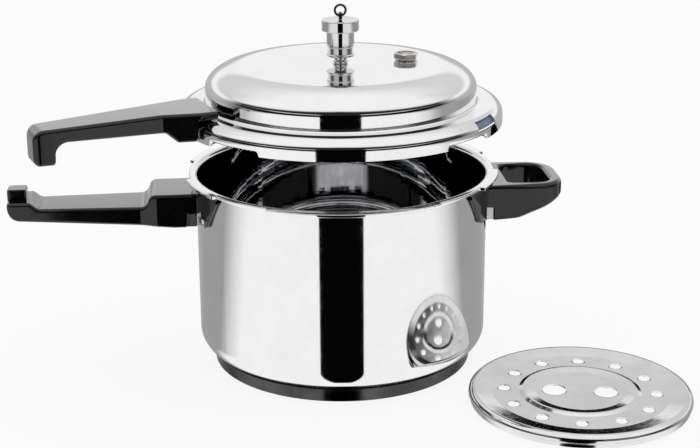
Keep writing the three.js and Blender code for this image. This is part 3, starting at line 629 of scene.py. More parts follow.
def seal_profile():
    """The gasket's section, round where it lies in the edge of the flange."""
    centre = SKIRT_RADIUS - FLANGE_ROUND
    rise = math.degrees(math.asin((SEAL_LOW.z - FLANGE + FLANGE_ROUND) / SEAL_ARC))
    outside = arc(centre, FLANGE - FLANGE_ROUND, SEAL_ARC, 90, rise, SEAL_STEPS)
    edge = outside[-1][0]
    inside = rounded([
        (edge, SEAL_LOW.z),
        (SEAL_INNER, SEAL_LOW.z, SEAL_EDGE),
        (SEAL_INNER, SEAL_HIGH.z, SEAL_EDGE),
        (centre, SEAL_HIGH.z),
    ])
    return outside + inside[1:-1]


seal_points = seal_profile()
gasket = as_object("gasket_ring", turned(lambda angle: seal_points, even_columns(LARGE_COLUMNS), ring=True))
dress(gasket, "gasket", "seal_rubber", seal, "gasket")


# Vent tube

ON_LID = LID_TOP + SEAT_GAP
VENT_BORE = 1.3
VENT_THREAD = 4
VENT_FLANGE = 5.8
VENT_FLANGE_TOP = LID_TOP + 1.8
VENT_GROOVE = 4.6
VENT_GROOVE_LOW = LID_TOP + 2.2
VENT_GROOVE_HIGH = LID_TOP + 2.9
VENT_COLLAR = 5.2
VENT_COLLAR_LOW = LID_TOP + 3.2
VENT_COLLAR_HIGH = LID_TOP + 5
VENT_STEM = 3.2
VENT_TIP = 2
VENT_CONE = 3
vent_profile = rounded([
    (VENT_BORE, VENT_LOW.z),
    (VENT_THREAD, VENT_LOW.z, FINE_EDGE),
    (VENT_THREAD, ON_LID),
    (VENT_FLANGE, ON_LID, FINE_EDGE),
    (VENT_FLANGE, VENT_FLANGE_TOP, FINE_EDGE),
    (VENT_GROOVE, VENT_GROOVE_LOW, FINE_EDGE),
    (VENT_GROOVE, VENT_GROOVE_HIGH, FINE_EDGE),
    (VENT_COLLAR, VENT_COLLAR_LOW, FINE_EDGE),
    (VENT_COLLAR, VENT_COLLAR_HIGH, FINE_EDGE),
    (VENT_STEM, VENT_COLLAR_HIGH, FINE_EDGE),
    (VENT_STEM, VENT_HIGH.z - VENT_CONE, FINE_EDGE),
    (VENT_TIP, VENT_HIGH.z, FINE_EDGE),
    (VENT_BORE, VENT_HIGH.z),
])
vent = as_object("vent", small_turned(vent_profile, ring=True))
dress(vent, "lid", "valve_chrome", valve, "vent_tube")


# Weight

WEIGHT_BASE = WEIGHT_LOW.z
WEIGHT_RADIUS = 10.3
WEIGHT_LIP = WEIGHT_HIGH.x
WEIGHT_LIP_TOP = WEIGHT_BASE + 1.2
WEIGHT_WAIST = 9.7
WEIGHT_WAIST_LOW = WEIGHT_BASE + 1.8
WEIGHT_WAIST_HIGH = WEIGHT_BASE + 6.8
WEIGHT_SHOULDER = WEIGHT_BASE + 7.4
WEIGHT_TOP = WEIGHT_CAP_LOW.z - SEAT_GAP
WEIGHT_NECK = 7
WEIGHT_BORE = 4.2
WEIGHT_BORE_TOP = WEIGHT_HIGH.z - 8
weight_profile = rounded([
    (0, WEIGHT_BORE_TOP),
    (WEIGHT_BORE, WEIGHT_BORE_TOP),
    (WEIGHT_BORE, WEIGHT_BASE, FINE_EDGE),
    (WEIGHT_LIP, WEIGHT_BASE, FINE_EDGE),
    (WEIGHT_LIP, WEIGHT_LIP_TOP, FINE_EDGE),
    (WEIGHT_WAIST, WEIGHT_WAIST_LOW, FINE_EDGE),
    (WEIGHT_WAIST, WEIGHT_WAIST_HIGH, FINE_EDGE),
    (WEIGHT_RADIUS, WEIGHT_SHOULDER, FINE_EDGE),
    (WEIGHT_RADIUS, WEIGHT_TOP, FINE_EDGE),
    (WEIGHT_NECK, WEIGHT_TOP),
    (WEIGHT_NECK, WEIGHT_HIGH.z),
    (0, WEIGHT_HIGH.z),
])
weight = as_object("weight", small_turned(weight_profile))
dress(weight, "weight", "valve_chrome", valve, "weight_body")

CAP_RADIUS = WEIGHT_CAP_HIGH.x
CAP_BORE = 7.4
CAP_BORE_TOP = WEIGHT_HIGH.z + SEAT_GAP
CAP_EDGE_LOW = 0.8
CAP_EDGE_HIGH = 0.9
cap_profile = rounded([
    (0, CAP_BORE_TOP),
    (CAP_BORE, CAP_BORE_TOP),
    (CAP_BORE, WEIGHT_CAP_LOW.z, FINE_EDGE),
    (CAP_RADIUS, WEIGHT_CAP_LOW.z, CAP_EDGE_LOW),
    (CAP_RADIUS, WEIGHT_CAP_HIGH.z, CAP_EDGE_HIGH),
    (0, WEIGHT_CAP_HIGH.z),
])
cap = as_object("weight_top", small_turned(cap_profile))
dress(cap, "weight", "valve_chrome", valve, "weight_cap")


# Lifting ring, upright, with its foot in the eye on the cap

RING_WIRE = 0.9
RING_FOOT = RING_LOW.z + (RING_HIGH.y - RING_LOW.y) / 2
RING_RADIUS = (RING_HIGH.z - RING_WIRE - RING_FOOT) / 2
WIRE_SIDES = 24
wire_section = arc(RING_RADIUS, 0, RING_WIRE, 0, 360 - 360 / WIRE_SIDES, WIRE_SIDES - 1)
ring_mesh = small_turned(wire_section, ring=True)
upright = Matrix.Rotation(math.pi / 2, 4, "X")
ring_mesh.transform(Matrix.Translation((0, 0, RING_FOOT + RING_RADIUS)) @ upright)
ring = as_object("lift_ring", ring_mesh)
dress(ring, "ring", "satin_steel", dark_wire, "weight_ring")


# Safety valve and its fusible plug

SAFETY_HEAD = 9.8
SAFETY_TURN = -17
SAFETY_CORNER = 3.3
SAFETY_WAIST = 8.2
SAFETY_WAIST_TOP = LID_TOP + 1.4
SAFETY_CHAMFER = 0.8
SAFETY_BORE = 3.3
SAFETY_THREAD = 5
SAFETY_CUP = 6.6
SAFETY_CUP_EDGE = 0.5
SAFETY_CUP_FLOOR = SAFETY_HIGH.z - 1.5


def hexagon_radius(angle):
    """Distance from the middle of the valve's hexagon to its side, or to its broken corner."""
    from_flat = math.radians((angle - SAFETY_TURN) % 60 - 30)
    return min(SAFETY_HEAD * math.cos(math.pi / 6) / math.cos(from_flat), SAFETY_HEAD - FINE_EDGE)


def safety_profile(angle):
    side = hexagon_radius(angle)
    chamfer = SAFETY_CHAMFER * (side - SAFETY_WAIST) / (SAFETY_HEAD - SAFETY_WAIST)
    return rounded([
        (SAFETY_BORE, SAFETY_LOW.z),
        (SAFETY_THREAD, SAFETY_LOW.z, FINE_EDGE),
        (SAFETY_THREAD, ON_LID),
        (SAFETY_WAIST, ON_LID, FINE_EDGE),
        (SAFETY_WAIST, SAFETY_WAIST_TOP, FINE_EDGE),
        (side, SAFETY_WAIST_TOP, FINE_EDGE),
        (side, SAFETY_HIGH.z - chamfer, FINE_EDGE),
        (SAFETY_WAIST, SAFETY_HIGH.z, FINE_EDGE),
        (SAFETY_CUP, SAFETY_HIGH.z, SAFETY_CUP_EDGE),
        (SAFETY_CUP, SAFETY_CUP_FLOOR, FINE_EDGE),
        (SAFETY_BORE, SAFETY_CUP_FLOOR),
    ])


corner_marks = [SAFETY_TURN + 60 * corner + side * SAFETY_CORNER for corner in range(6) for side in (-1, 1)]
safety_columns = columns_with(corner_marks, SMALL_COLUMNS, clear=1.5)
safety_mesh = turned(safety_profile, safety_columns, ring=True)
safety_mesh.transform(Matrix.Translation((*SAFETY_PLACE, 0)))
safety = as_object("safety_valve", safety_mesh)
dress(safety, "lid", "valve_chrome", nickel, "safety_valve_body")

PLUG_RADIUS = (PLUG_HIGH.x - PLUG_LOW.x) / 2
PLUG_EDGE = 0.8
plug_profile = rounded([
    (0, PLUG_LOW.z),
    (PLUG_RADIUS, PLUG_LOW.z, FINE_EDGE),
    (PLUG_RADIUS, PLUG_HIGH.z, PLUG_EDGE),
    (0, PLUG_HIGH.z),
])
plug = as_object("melting_plug", small_turned(plug_profile, SAFETY_PLACE))
dress(plug, "lid", "plug_brass", brass, "fusible_plug")


# Cooking grid

GRID_CENTRE = (GRID_LOW + GRID_HIGH) / 2
GRID_RADIUS = 81.8
GRID_TURN = -12
GRID_SHEET = 0.9
GRID_TOP = GRID_HIGH.z
GRID_FLAT = GRID_TOP - 2.1
GRID_RIM_INNER = 77
GRID_FLAT_OUTER = 64.5
GRID_SKIRT_STEP = 1.4
GRID_SKIRT_HEIGHT = 4
GRID_SKIRT_BEND = 0.8
GRID_EDGE_ROUND = 4
GRID_BEND = 3
BEAD_INNER = 33
BEAD_CREST = 41
BEAD_OUTER = 45
BEAD_CROWN = 0.8
BEAD_BEND = 1.6
BEAD_HEIGHT = 1.2
HOLE_COUNT = 12
HOLE_RADIUS = 4.4
HOLE_CIRCLE = 55.5
HOLE_COLUMNS = 32
FINGER_HOLE_RADIUS = 8.7
FINGER_HOLE_SPACING = 37.6
HOLE_DISH = 1.6
HOLE_BEND = 3
HOLE_EDGE = 0.25


def grid_rim(depth):
    """The grid's outside from its pierced ring to the foot of its skirt, or the skin below it."""
    edge = GRID_RADIUS - depth
    foot = edge - GRID_SKIRT_STEP
    return rounded([
        (GRID_FLAT_OUTER - GRID_BEND, GRID_FLAT - depth),
        (GRID_FLAT_OUTER, GRID_FLAT - depth, GRID_BEND, BEND_STEPS),
        (GRID_RIM_INNER, GRID_TOP - depth, GRID_BEND, BEND_STEPS),
        (edge, GRID_TOP - depth, GRID_EDGE_ROUND - depth, EDGE_STEPS),
        (edge, GRID_SKIRT_HEIGHT, GRID_SKIRT_BEND, BEND_STEPS),
        (foot, GRID_SKIRT_HEIGHT - GRID_SKIRT_STEP, GRID_SKIRT_BEND, BEND_STEPS),
        (foot, 0),
    ])


def grid_bead(depth):
    """The raised bead between the pierced ring and the middle."""
    flat = GRID_FLAT - depth
    return rounded([
        (BEAD_INNER - BEAD_BEND, flat),
        (BEAD_INNER, flat, BEAD_BEND, BEND_STEPS),
        (BEAD_CREST - BEAD_CROWN, flat + BEAD_HEIGHT, BEAD_BEND, BEND_STEPS),
        (BEAD_CREST + BEAD_CROWN, flat + BEAD_HEIGHT, BEAD_BEND, BEND_STEPS),
        (BEAD_OUTER, flat, BEAD_BEND, BEND_STEPS),
        (BEAD_OUTER + BEAD_BEND, flat),
    ])


def add_rings(mesh, profile, place, count):
    """Bands of faces along a profile round an upright axis; gives its first and last ring of edges."""
    rings = []
    for radius, height in profile:
        ring = []
        for step in range(count):
            turn = 2 * math.pi * step / count
            corner = (place[0] + radius * math.cos(turn), place[1] + radius * math.sin(turn), height)
            ring.append(mesh.verts.new(corner))
        rings.append(ring)
    for ring, following in zip(rings, rings[1:]):
        for step in range(count):
            after = (step + 1) % count
            mesh.faces.new((ring[step], ring[after], following[after], following[step]))

    def edges_of(ring):
        return [mesh.edges.get((ring[step], ring[(step + 1) % count])) for step in range(count)]

    return edges_of(rings[0]), edges_of(rings[-1])


def grid_holes():
    """(place, radius) of each hole in the pierced ring, then of the two finger holes."""
    ring = []
    for index in range(HOLE_COUNT):
        turn = 2 * math.pi * index / HOLE_COUNT
        ring.append(((HOLE_CIRCLE * math.sin(turn), -HOLE_CIRCLE * math.cos(turn)), HOLE_RADIUS))
    fingers = [((side * FINGER_HOLE_SPACING / 2, 0), FINGER_HOLE_RADIUS) for side in (1, -1)]
    return ring, fingers


def hole_wall(radius):
    """The dished lip of a hole, its thin edge and the skin below it."""
    fall = 90 + math.degrees(math.asin(HOLE_DISH / HOLE_BEND))
    lip = arc(radius + HOLE_DISH, GRID_FLAT - HOLE_BEND, HOLE_BEND, 90, fall, BEND_STEPS)
    return lip + [(radius, lip[-1][1] - HOLE_EDGE), (radius + HOLE_DISH, GRID_FLAT - GRID_SHEET)]


def grid_mesh():
    """The grid's sheet: its rim and bead, and flat faces between them with the holes left open."""
    mesh = bmesh.new()
    rim = grid_rim(0) + grid_rim(GRID_SHEET)[::-1]
    rim_top, rim_under = add_rings(mesh, rim, (0, 0), LARGE_COLUMNS)
    bead_top_in, bead_top_out = add_rings(mesh, grid_bead(0), (0, 0), LARGE_COLUMNS)
    bead_under_in, bead_under_out = add_rings(mesh, grid_bead(GRID_SHEET), (0, 0), LARGE_COLUMNS)
    ring_holes, finger_holes = grid_holes()
    for holes, top, under in (
        (ring_holes, rim_top + bead_top_out, rim_under + bead_under_out),
        (finger_holes, bead_top_in, bead_under_in),
    ):
        for place, radius in holes:
            hole_top, hole_under = add_rings(mesh, hole_wall(radius), place, HOLE_COLUMNS)
            top = top + hole_top
            under = under + hole_under
        for edges in (top, under):
            bmesh.ops.triangle_fill(mesh, use_beauty=True, use_dissolve=False, edges=edges)
    face_outwards(mesh)
    mesh.transform(Matrix.Translation((*GRID_CENTRE.xy, 0)) @ turned_by(GRID_TURN))
    return mesh


grid = as_object("grid_plate", grid_mesh())
dress(grid, "grid", "polished_steel", pressed, "cooking_grid")


# Handles

def edge_height(edge, reach):
    """Height of an edge of (reach, height) points at a reach."""
    return float(np.interp(reach, [point[0] for point in edge], [point[1] for point in edge]))


def seated(reach, across, height, share):
    """A point of a handle whose reach follows the round wall by a share."""
    dip = math.sqrt(reach ** 2 - across ** 2) - reach
    return Vector((reach + dip * share, across, height))


def fading(reach, start):
    """The share of the wall's roundness in a handle, which fades further out."""
    return 1 - smooth_step((reach - start) / SEAT_FADE)


def bar(top, bottom, side, edge, roundness):
    """A handle bar between its top, bottom and side edges, with rounded long edges."""
    reaches = sorted({round(reach, 2) for line in (top, bottom, side) for reach, _ in line})
    rings = []
    for reach in reaches:
        half = edge_height(side, reach)
        low = edge_height(bottom, reach)
        high = edge_height(top, reach)
        ring = rounded_box(-half, half, low, high, edge)
        rings.append([seated(reach, across, height, roundness(reach)) for across, height in ring])
    return loft(rings)


def bent(sections):
    """A mesh through sections of (radius, height) points at bearings from the handle's middle."""
    rings = []
    for bearing, section in sections:
        across = math.sin(bearing)
        along = math.cos(bearing)
        rings.append([(radius * along, radius * across, height) for radius, height in section])
    return loft(rings)


def wing_plate(angle):
    """The thin curved plate of a handle along the pot wall, narrower at its bottom."""
    half = WING_FACE * math.sin(math.radians(angle))
    edge = rounded([
        (0, WING_BOTTOM),
        (half - WING_SLANT, WING_BOTTOM, WING_CORNER),
        (half, WING_TOP - WING_UPRIGHT, WING_EDGE),
        (half, WING_TOP),
    ])[:-1]
    even_steps = set(np.arange(0, half - WING_SLANT, WING_SPACING))
    steps = sorted({round(across, 2) for across, _ in edge} | even_steps)
    sections = []
    for across in [-step for step in steps[:0:-1]] + steps:
        low = edge_height(edge, abs(across))
        section = rounded_box(WALL_FACE, WING_FACE, low, WING_TOP, WING_EDGE)
        sections.append((math.asin(across / WING_FACE), section))
    return bent(sections)


def sector_block(inner, outer, start, end, bottom, top):
    """A block bent round the upright axis, between two bearings in degrees."""
    square = [(inner, bottom), (outer, bottom), (outer, top), (inner, top)]
    bearings = np.radians(np.linspace(start, end, SECTOR_COLUMNS))
    return bent([(bearing, square) for bearing in bearings])


def cut_foot(handle, half_width, length, bottom):
    """Makes room for a bracket's plate, and opens the lower corners beside a handle's block."""
    beside = math.degrees(math.asin(half_width / POT_RADIUS))
    plate_room = sector_block(FOOT_INSIDE, PLATE_FACE, -beside, beside, bottom, PLATE_TOP)
    combine(handle, plate_room, "DIFFERENCE")
    wall = math.sqrt(POT_RADIUS ** 2 - half_width ** 2)
    for side in (1, -1):
        bearings = sorted((side * (beside - OPENING_OVERLAP), side * (beside + OPENING_ARC)))
        corner = sector_block(FOOT_INSIDE, wall + length, *bearings, bottom, OPENING_TOP)
        combine(handle, corner, "DIFFERENCE")
        inside, outside = sorted((side * (half_width - OPENING_DEPTH), side * (half_width + OVERCUT)))
        low = (wall - OVERCUT, inside, bottom)
        high = (wall + length, outside, OPENING_TOP)
        combine(handle, block(low, high), "DIFFERENCE")


def cut_screw_hole(handle, seat, place):
    """A hole for a screw's head, open below."""
    combine(handle, drum(SCREW_HEAD, seat - SCREW_ROOM, seat, place), "DIFFERENCE")


def follows_wall(reach):
    return fading(reach, HANDLE_START)


def end_lip(start, end, base):
    """The raised lip across the end of the long handle, sunk into the end's top."""
    height = RIM - 8.2
    half = 7.2
    edge = 1.6
    end_edge = 2.4
    long_edge = 1.2
    top = rounded([(start, base), (start, height, edge), (end, height, edge), (end, base)])[1:-1]
    bottom = [(start, base - 1.5), (end, base - 4)]
    side = rounded([(start, 0), (start, half, edge), (end, half, end_edge), (end, 0)])[1:-1]
    return bar(top, bottom, side, long_edge, lambda reach: 0)


def make_pot_handle():
    """The long handle: a block at the wall, a slimmer grip, and a raised lip on its end."""
    block_end = POT_RADIUS + 34
    grip = POT_RADIUS + 38
    lip = POT_RADIUS + 126.9
    end = POT_RADIUS + 141.3
    block_top = RIM - 11.2
    block_bottom = RIM - 37.2
    block_half = 24
    grip_top = RIM - 20.8
    grip_bottom = RIM - 35.2
    grip_half = 21.5
    end_top = RIM - 16
    end_bottom = RIM - 29.8
    end_half = 17.5
    wing_angle = 31.5
    foot_length = 11
    screw_reach = POT_RADIUS + 54
    screw_seat = RIM - 31.2
    top = rounded([
        (HANDLE_START, block_top),
        (block_end, block_top, ROUND_TIP),
        (grip, grip_top, ROUND_BEND),
        (lip - 9, grip_top, ROUND_BEND),
        (lip - 3, end_top, ROUND_CORNER),
        (end, end_top, ROUND_CORNER),
        (end, grip_top),
    ])[:-1]
    bottom = rounded([
        (HANDLE_START, block_bottom),
        (block_end - 17, block_bottom, ROUND_BEND),
        (grip, grip_bottom, ROUND_BEND),
        (end, end_bottom, ROUND_HEEL),
        (end, end_top),
    ])[:-1]
    side = rounded([
        (HANDLE_START, block_half),
        (block_end - 4.4, block_half, ROUND_BEND),
        (grip + 3.8, grip_half, ROUND_SWEEP),
        (end, end_half, ROUND_TIP),
        (end, 0),
    ])[:-1]
    handle = as_object("pot_grip", bar(top, bottom, side, HANDLE_EDGE, follows_wall))
    combine(handle, end_lip(lip, end, end_top), "UNION")
    combine(handle, wing_plate(wing_angle), "UNION")
    cut_foot(handle, block_half, foot_length, block_bottom - OVERCUT)
    cut_screw_hole(handle, screw_seat, (screw_reach, 0))
    handle.data.transform(turned_by(180))
    dress(handle, "pot", "bakelite", bakelite, "pot_handle")


def make_lid_handle():
    """The lid's handle: a block round the skirt, a tapering grip and a hooked end."""
    near = DOME_RADIUS + 4.5
    inner = SKIRT_RADIUS + 2.1
    block_end = SKIRT_RADIUS + 14
    grip = SKIRT_RADIUS + 24
    end = POT_RADIUS + 126
    hook = end - 15
    top_height = FLANGE + 7
    end_top = FLANGE + 3.2
    over_flange = FLANGE + 0.9
    block_bottom = FLANGE - 13.8
    grip_bottom = FLANGE - 6.3
    hook_bottom = FLANGE - 22
    block_half = 25
    grip_half = 19
    end_half = 12.5
    draft = 0.4
    screw_reach = SKIRT_RADIUS + 38
    screw_seat = FLANGE - 3.2
    top = rounded([
        (near, top_height),
        (grip, top_height, ROUND_SWEEP),
        (end, end_top, ROUND_SWEEP),
        (end, hook_bottom),
    ])[:-1]
    bottom = rounded([
        (near, over_flange),
        (inner, over_flange),
        (inner + draft, block_bottom, ROUND_CRISP),
        (block_end, block_bottom, ROUND_SMALL),
        (block_end + 8, grip_bottom, ROUND_SOFT),
        (hook, grip_bottom, ROUND_HEEL),
        (hook + draft, hook_bottom, ROUND_SMALL),
        (end, hook_bottom, ROUND_SOFT),
        (end, FLANGE),
    ])[:-1]
    side = rounded([
        (near, block_half),
        (SKIRT_RADIUS, block_half, ROUND_TIP),
        (grip, grip_half, ROUND_SWEEP),
        (end, end_half, ROUND_TIP),
        (end, 0),
    ])[:-1]

    def follows_skirt(reach):
        return fading(reach, inner) * smooth_step((reach - near) / (inner - near))

    handle = as_object("lid_grip", bar(top, bottom, side, HANDLE_EDGE, follows_skirt))
    cut_screw_hole(handle, screw_seat, (screw_reach, 0))
    handle.data.transform(turned_by(180 + LID_TURN))
    dress(handle, "lid", "bakelite", bakelite, "lid_handle")


# Helper handle, a finger loop

NEAR_CORNER_STEPS = 8
FAR_CORNER_STEPS = 12
LOOP_SIDE_PARTS = 6


def loop_outline(near, far, half_width, near_corner, far_corner):
    """A closed plan outline with rounded corners and even points along its sides."""
    corners = [
        (near, -half_width, near_corner, NEAR_CORNER_STEPS),
        (far, -half_width, far_corner, FAR_CORNER_STEPS),
        (far, half_width, far_corner, FAR_CORNER_STEPS),
        (near, half_width, near_corner, NEAR_CORNER_STEPS),
    ]
    points = [Vector(point) for point in rounded(corners, closed=True)]
    corner_ends = np.cumsum([steps + 1 for *_, steps in corners]) - 1
    outline = []
    for index, point in enumerate(points):
        outline.append(point)
        if index in corner_ends:
            following = points[(index + 1) % len(points)]
            outline += [point.lerp(following, part / LOOP_SIDE_PARTS) for part in range(1, LOOP_SIDE_PARTS)]
    return outline


def make_helper_handle():
    """The finger loop: a band between two plan outlines, deepest at the wall."""
    hole_near = POT_RADIUS + 15
    hole_far = POT_RADIUS + 47.5
    hole_half = 25.5
    hole_edge = 2.5
    foot_end = POT_RADIUS + 20
    end = POT_RADIUS + 57.5
    half = 33
    edge = 3.5
    top = RIM - 9
    foot_bottom = RIM - 36.5
    end_bottom = RIM - 21
    wing_angle = 38
    foot_length = 7.5
    screw_reach = POT_RADIUS + 8.5
    screw_seat = foot_bottom + 3.1
    screw_spacing = 24
    bottom_edge = rounded([
        (HANDLE_START, foot_bottom),
        (foot_end, foot_bottom, ROUND_SWEEP),
        (end, end_bottom),
    ])
    outer = loop_outline(HANDLE_START, end, half, near_corner=1, far_corner=22)
    inner = loop_outline(hole_near, hole_far, hole_half, near_corner=8, far_corner=12)
    rings = []
    for inside, outside in zip(inner, outer):
        run = (outside - inside).length
        ring = rounded([
            (0, edge_height(bottom_edge, inside.x), hole_edge),
            (run, edge_height(bottom_edge, outside.x), edge),
            (run, top, edge),
            (0, top, hole_edge),
        ], closed=True)
        places = [(inside.lerp(outside, along / run), height) for along, height in ring]
        rings.append([seated(place.x, place.y, height, follows_wall(place.x)) for place, height in places])
    handle = as_object("helper_grip", loft(rings, closed=True))
    combine(handle, wing_plate(wing_angle), "UNION")
    cut_foot(handle, half, foot_length, foot_bottom - OVERCUT)
    for side in (1, -1):
        cut_screw_hole(handle, screw_seat, (screw_reach, side * screw_spacing / 2))
    dress(handle, "pot", "bakelite", bakelite, "helper_handle")


make_pot_handle()
make_lid_handle()
make_helper_handle()


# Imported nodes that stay: brackets, fixings and hidden or small pieces

WELD_REACH = 1e-6
FLAT_ANGLE = 1
SOFT_STEPS = 2


def keep_node(node, material, edge):
    """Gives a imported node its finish, and softens its edges."""
    kept = frame["nodes"][node]
    kept.data.materials.clear()
    kept.data.materials.append(material)
    weld = kept.modifiers.new("weld", "WELD")
    weld.merge_threshold = WELD_REACH
    flat = kept.modifiers.new("flat_faces", "DECIMATE")
    flat.decimate_type = "DISSOLVE"
    flat.angle_limit = math.radians(FLAT_ANGLE)
    soft = kept.modifiers.new("soft_edges", "BEVEL")
    soft.width = edge * MM
    soft.segments = SOFT_STEPS
    soft.limit_method = "ANGLE"
    soft.angle_limit = math.radians(SHARP_ANGLE)


SCREWS = ("pot_handle_screw", "helper_screw_rear", "helper_screw_front", "lid_handle_screw")
KEPT_NODES = (
    (satin, 0.25, ("pot_handle_bracket", "helper_bracket", "lid_handle_bracket")),
    (satin, 0.4, SCREWS + ("vent_nut", "safety_nut")),
    (satin, 0.2, ("weight_pin",)),
    (dark_wire, 0.2, ("weight_eye",)),
    (washer, 0.2, ("vent_washer", "safety_washer")),
    (aluminium, 0.3, ("base_core",)),
)
for material, edge, nodes in KEPT_NODES:
    for node in nodes:
        keep_node(node, material, edge)


# Studio

# Dark cards for the steel to mirror, measured from the middle of the pot
FRONT_CARD = {"distance": 1100, "across": 0, "half_width": 320, "bottom": -4500, "top": 400}
BACK_CARD = {"distance": -250, "across": 230, "half_width": 220, "bottom": 15, "top": 100}

# Plain colours
CARD_BLACK = (0.002, 0.002, 0.002, 1)
FLOOR_COLOUR = (0.9, 0.9, 0.9, 1)
LOW_LIGHT = (0.85, 0.85, 0.85, 1)
BLACK = (0, 0, 0, 1)
WHITE = (1, 1, 1, 1)

# Brightness of the studio by direction, in (place, brightness) stops
FRONT_SKY = [(0.55, 0.02), (0.68, 0.96), (0.9, 1.0)]
BACK_SKY = [(0.0, 0.5), (0.13, 0.55), (0.19, 0.96), (0.28, 0.97), (0.36, 0.7), (0.6, 0.75), (0.9, 1.0)]
GROUND = [(0.43, 1.0), (0.5, 0.75), (0.58, 0.36), (0.78, 0.36), (0.95, 0.5)]

# Extent of the studio's zones, by height or by bearing from the front, in (place, share) stops
BEHIND = [(0.5, 0.0), (0.64, 1.0)]
ABOVE_HORIZON = [(0.49, 0.0), (0.505, 1.0)]
LOW_LIGHT_HEIGHT = [(0.17, 0.0), (0.185, 1.0), (0.225, 1.0), (0.24, 0.0)]
LOW_LIGHT_BEARING = [(0.085, 0.0), (0.1, 1.0), (0.3, 1.0), (0.37, 0.25), (0.58, 0.0)]
DARK_LINE_HEIGHT = [(0.05, 0.95), (0.11, 0.0)]
DARK_LINE_BEARING = [(0.4, 1.0), (0.55, 0.0)]

# Slant of the front sky by bearing, and slant and shift of the ground's shading by height
FRONT_SLOPE = 0.5
GROUND_SLOPE = 0.85
GROUND_SHIFT = 0.31

# Floor
FLOOR_HALF = 6000
FLOOR_DROP = 0.2
FLOOR_ROUGHNESS = 0.9
FLOOR_WHITE = 0.88


def studio_world():
    """What the steel mirrors: a dark front with a low light at each side, a grey back and a white top."""
    world = bpy.data.worlds.new("studio")
    bpy.context.scene.world = world
    world.use_nodes = True
    tree = world.node_tree

    def math_node(operation, first, second=0.0):
        return add_node(tree, "ShaderNodeMath", {0: first, 1: second}, operation=operation).outputs["Value"]

    def mixed(factor, first, second):
        inputs = {"Factor": factor, 6: first, 7: second}
        return add_node(tree, "ShaderNodeMix", inputs, data_type="RGBA").outputs[2]

    coordinates = add_node(tree, "ShaderNodeTexCoord")
    turn = add_node(
        tree,
        "ShaderNodeVectorRotate",
        {"Vector": coordinates.outputs["Generated"], "Angle": math.radians(-CAMERA_AZIMUTH)},
        rotation_type="Z_AXIS",
    )
    parts = add_node(tree, "ShaderNodeSeparateXYZ", {"Vector": turn.outputs["Vector"]}).outputs
    height = parts["Z"]
    forwards = math_node("MULTIPLY", parts["Y"], -1)
    bearing = math_node("ABSOLUTE", math_node("ARCTAN2", parts["X"], forwards))
    share = math_node("DIVIDE", bearing, math.pi)
    ground_rise = math_node("MULTIPLY", math_node("ADD", height, GROUND_SHIFT), GROUND_SLOPE)
    ground = ramp(tree, math_node("ADD", share, ground_rise), GROUND)
    front_height = math_node("ADD", height, math_node("MULTIPLY", share, FRONT_SLOPE))
    front = ramp(tree, front_height, FRONT_SKY)
    back = ramp(tree, height, BACK_SKY)
    sky = mixed(ramp(tree, share, BEHIND), front, back)
    above = ramp(tree, math_node("ADD", height, 0.5), ABOVE_HORIZON)
    studio = mixed(above, ground, sky)
    lit = math_node("MULTIPLY", ramp(tree, height, LOW_LIGHT_HEIGHT), ramp(tree, share, LOW_LIGHT_BEARING))
    studio = mixed(lit, studio, LOW_LIGHT)
    level = ramp(tree, math_node("ABSOLUTE", height), DARK_LINE_HEIGHT)
    dark = math_node("MULTIPLY", level, ramp(tree, share, DARK_LINE_BEARING))
    studio = mixed(dark, studio, BLACK)
    seen = add_node(tree, "ShaderNodeLightPath").outputs["Is Camera Ray"]
    tree.links.new(mixed(seen, studio, WHITE), tree.nodes["Background"].inputs["Color"])


def dull_object(name, mesh, colour):
    made = as_object(name, mesh)
    made.data.transform(Matrix.Scale(MM, 4))
    material, tree, shader = material_tree(name)
    shader.inputs["Base Color"].default_value = colour
    shader.inputs["Specular IOR Level"].default_value = 0
    made.data.materials.append(material)
    return made, tree, shader


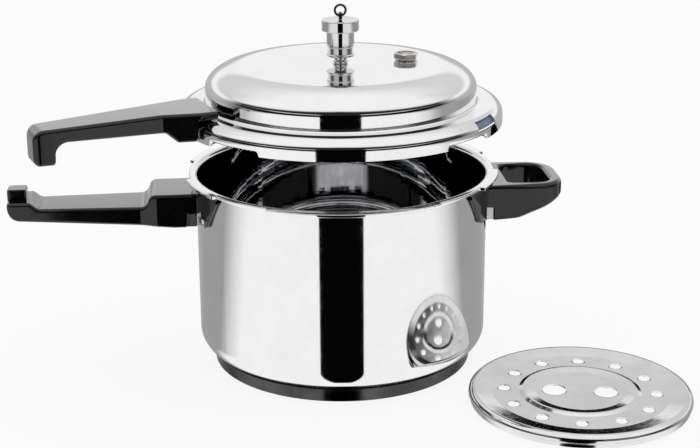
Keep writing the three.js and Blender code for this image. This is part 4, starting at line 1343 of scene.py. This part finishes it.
def dark_card(name, distance, across, half_width, bottom, top):
    """A black card before the pot, or behind it at a negative distance, that shows only in reflections."""
    mesh = bmesh.new()
    corners = [(-1, bottom), (1, bottom), (1, top), (-1, top)]
    points = [(across + side * half_width, -distance, height) for side, height in corners]
    mesh.faces.new([mesh.verts.new(point) for point in points])
    mesh.transform(turned_by(CAMERA_AZIMUTH))
    card, *_ = dull_object(name, mesh, CARD_BLACK)
    card.visible_camera = False
    card.visible_diffuse = False
    card.visible_shadow = False


def studio_floor():
    """A pale floor that keeps the object's shadow; the steel mirrors the studio itself."""
    mesh = bmesh.new()
    bmesh.ops.create_grid(mesh, x_segments=1, y_segments=1, size=FLOOR_HALF)
    mesh.transform(Matrix.Translation((0, 0, -FLOOR_DROP)))
    floor, tree, shader = dull_object("floor", mesh, FLOOR_COLOUR)
    shader.inputs["Roughness"].default_value = FLOOR_ROUGHNESS
    seen = add_node(tree, "ShaderNodeLightPath").outputs["Is Camera Ray"]
    share = add_node(tree, "ShaderNodeMath", {0: seen, 1: FLOOR_WHITE}, operation="MULTIPLY").outputs["Value"]
    white = add_node(tree, "ShaderNodeEmission", {"Color": WHITE, "Strength": 1.0})
    both = add_node(tree, "ShaderNodeMixShader", {0: share, 1: shader.outputs[0], 2: white.outputs[0]})
    tree.links.new(both.outputs[0], tree.nodes["Material Output"].inputs["Surface"])
    floor.visible_glossy = False


def photo_camera():
    data = bpy.data.cameras.new("camera")
    data.sensor_fit = "HORIZONTAL"
    data.sensor_width = SENSOR
    data.lens = CAMERA_LENS
    data.clip_end = CAMERA_REACH
    camera = bpy.data.objects.new("camera", data)
    bpy.context.scene.collection.objects.link(camera)
    lift = math.radians(CAMERA_ELEVATION)
    level = Matrix.Rotation(math.radians(CAMERA_AZIMUTH), 3, "Z")
    forward = level @ Vector((0, math.cos(lift), -math.sin(lift)))
    right = level @ Vector((1, 0, 0))
    up = right.cross(forward)
    roll = math.radians(CAMERA_ROLL)
    rolled_right = math.cos(roll) * right + math.sin(roll) * up
    rolled_up = math.cos(roll) * up - math.sin(roll) * right
    turn = Matrix((rolled_right, rolled_up, -forward)).transposed().to_4x4()
    camera.matrix_world = Matrix.Translation(AIM - CAMERA_DISTANCE * forward) @ turn
    bpy.context.scene.camera = camera


studio_world()
dark_card("front_card", **FRONT_CARD)
dark_card("back_card", **BACK_CARD)
studio_floor()
photo_camera()
bpy.context.scene.view_settings.view_transform = "Standard"
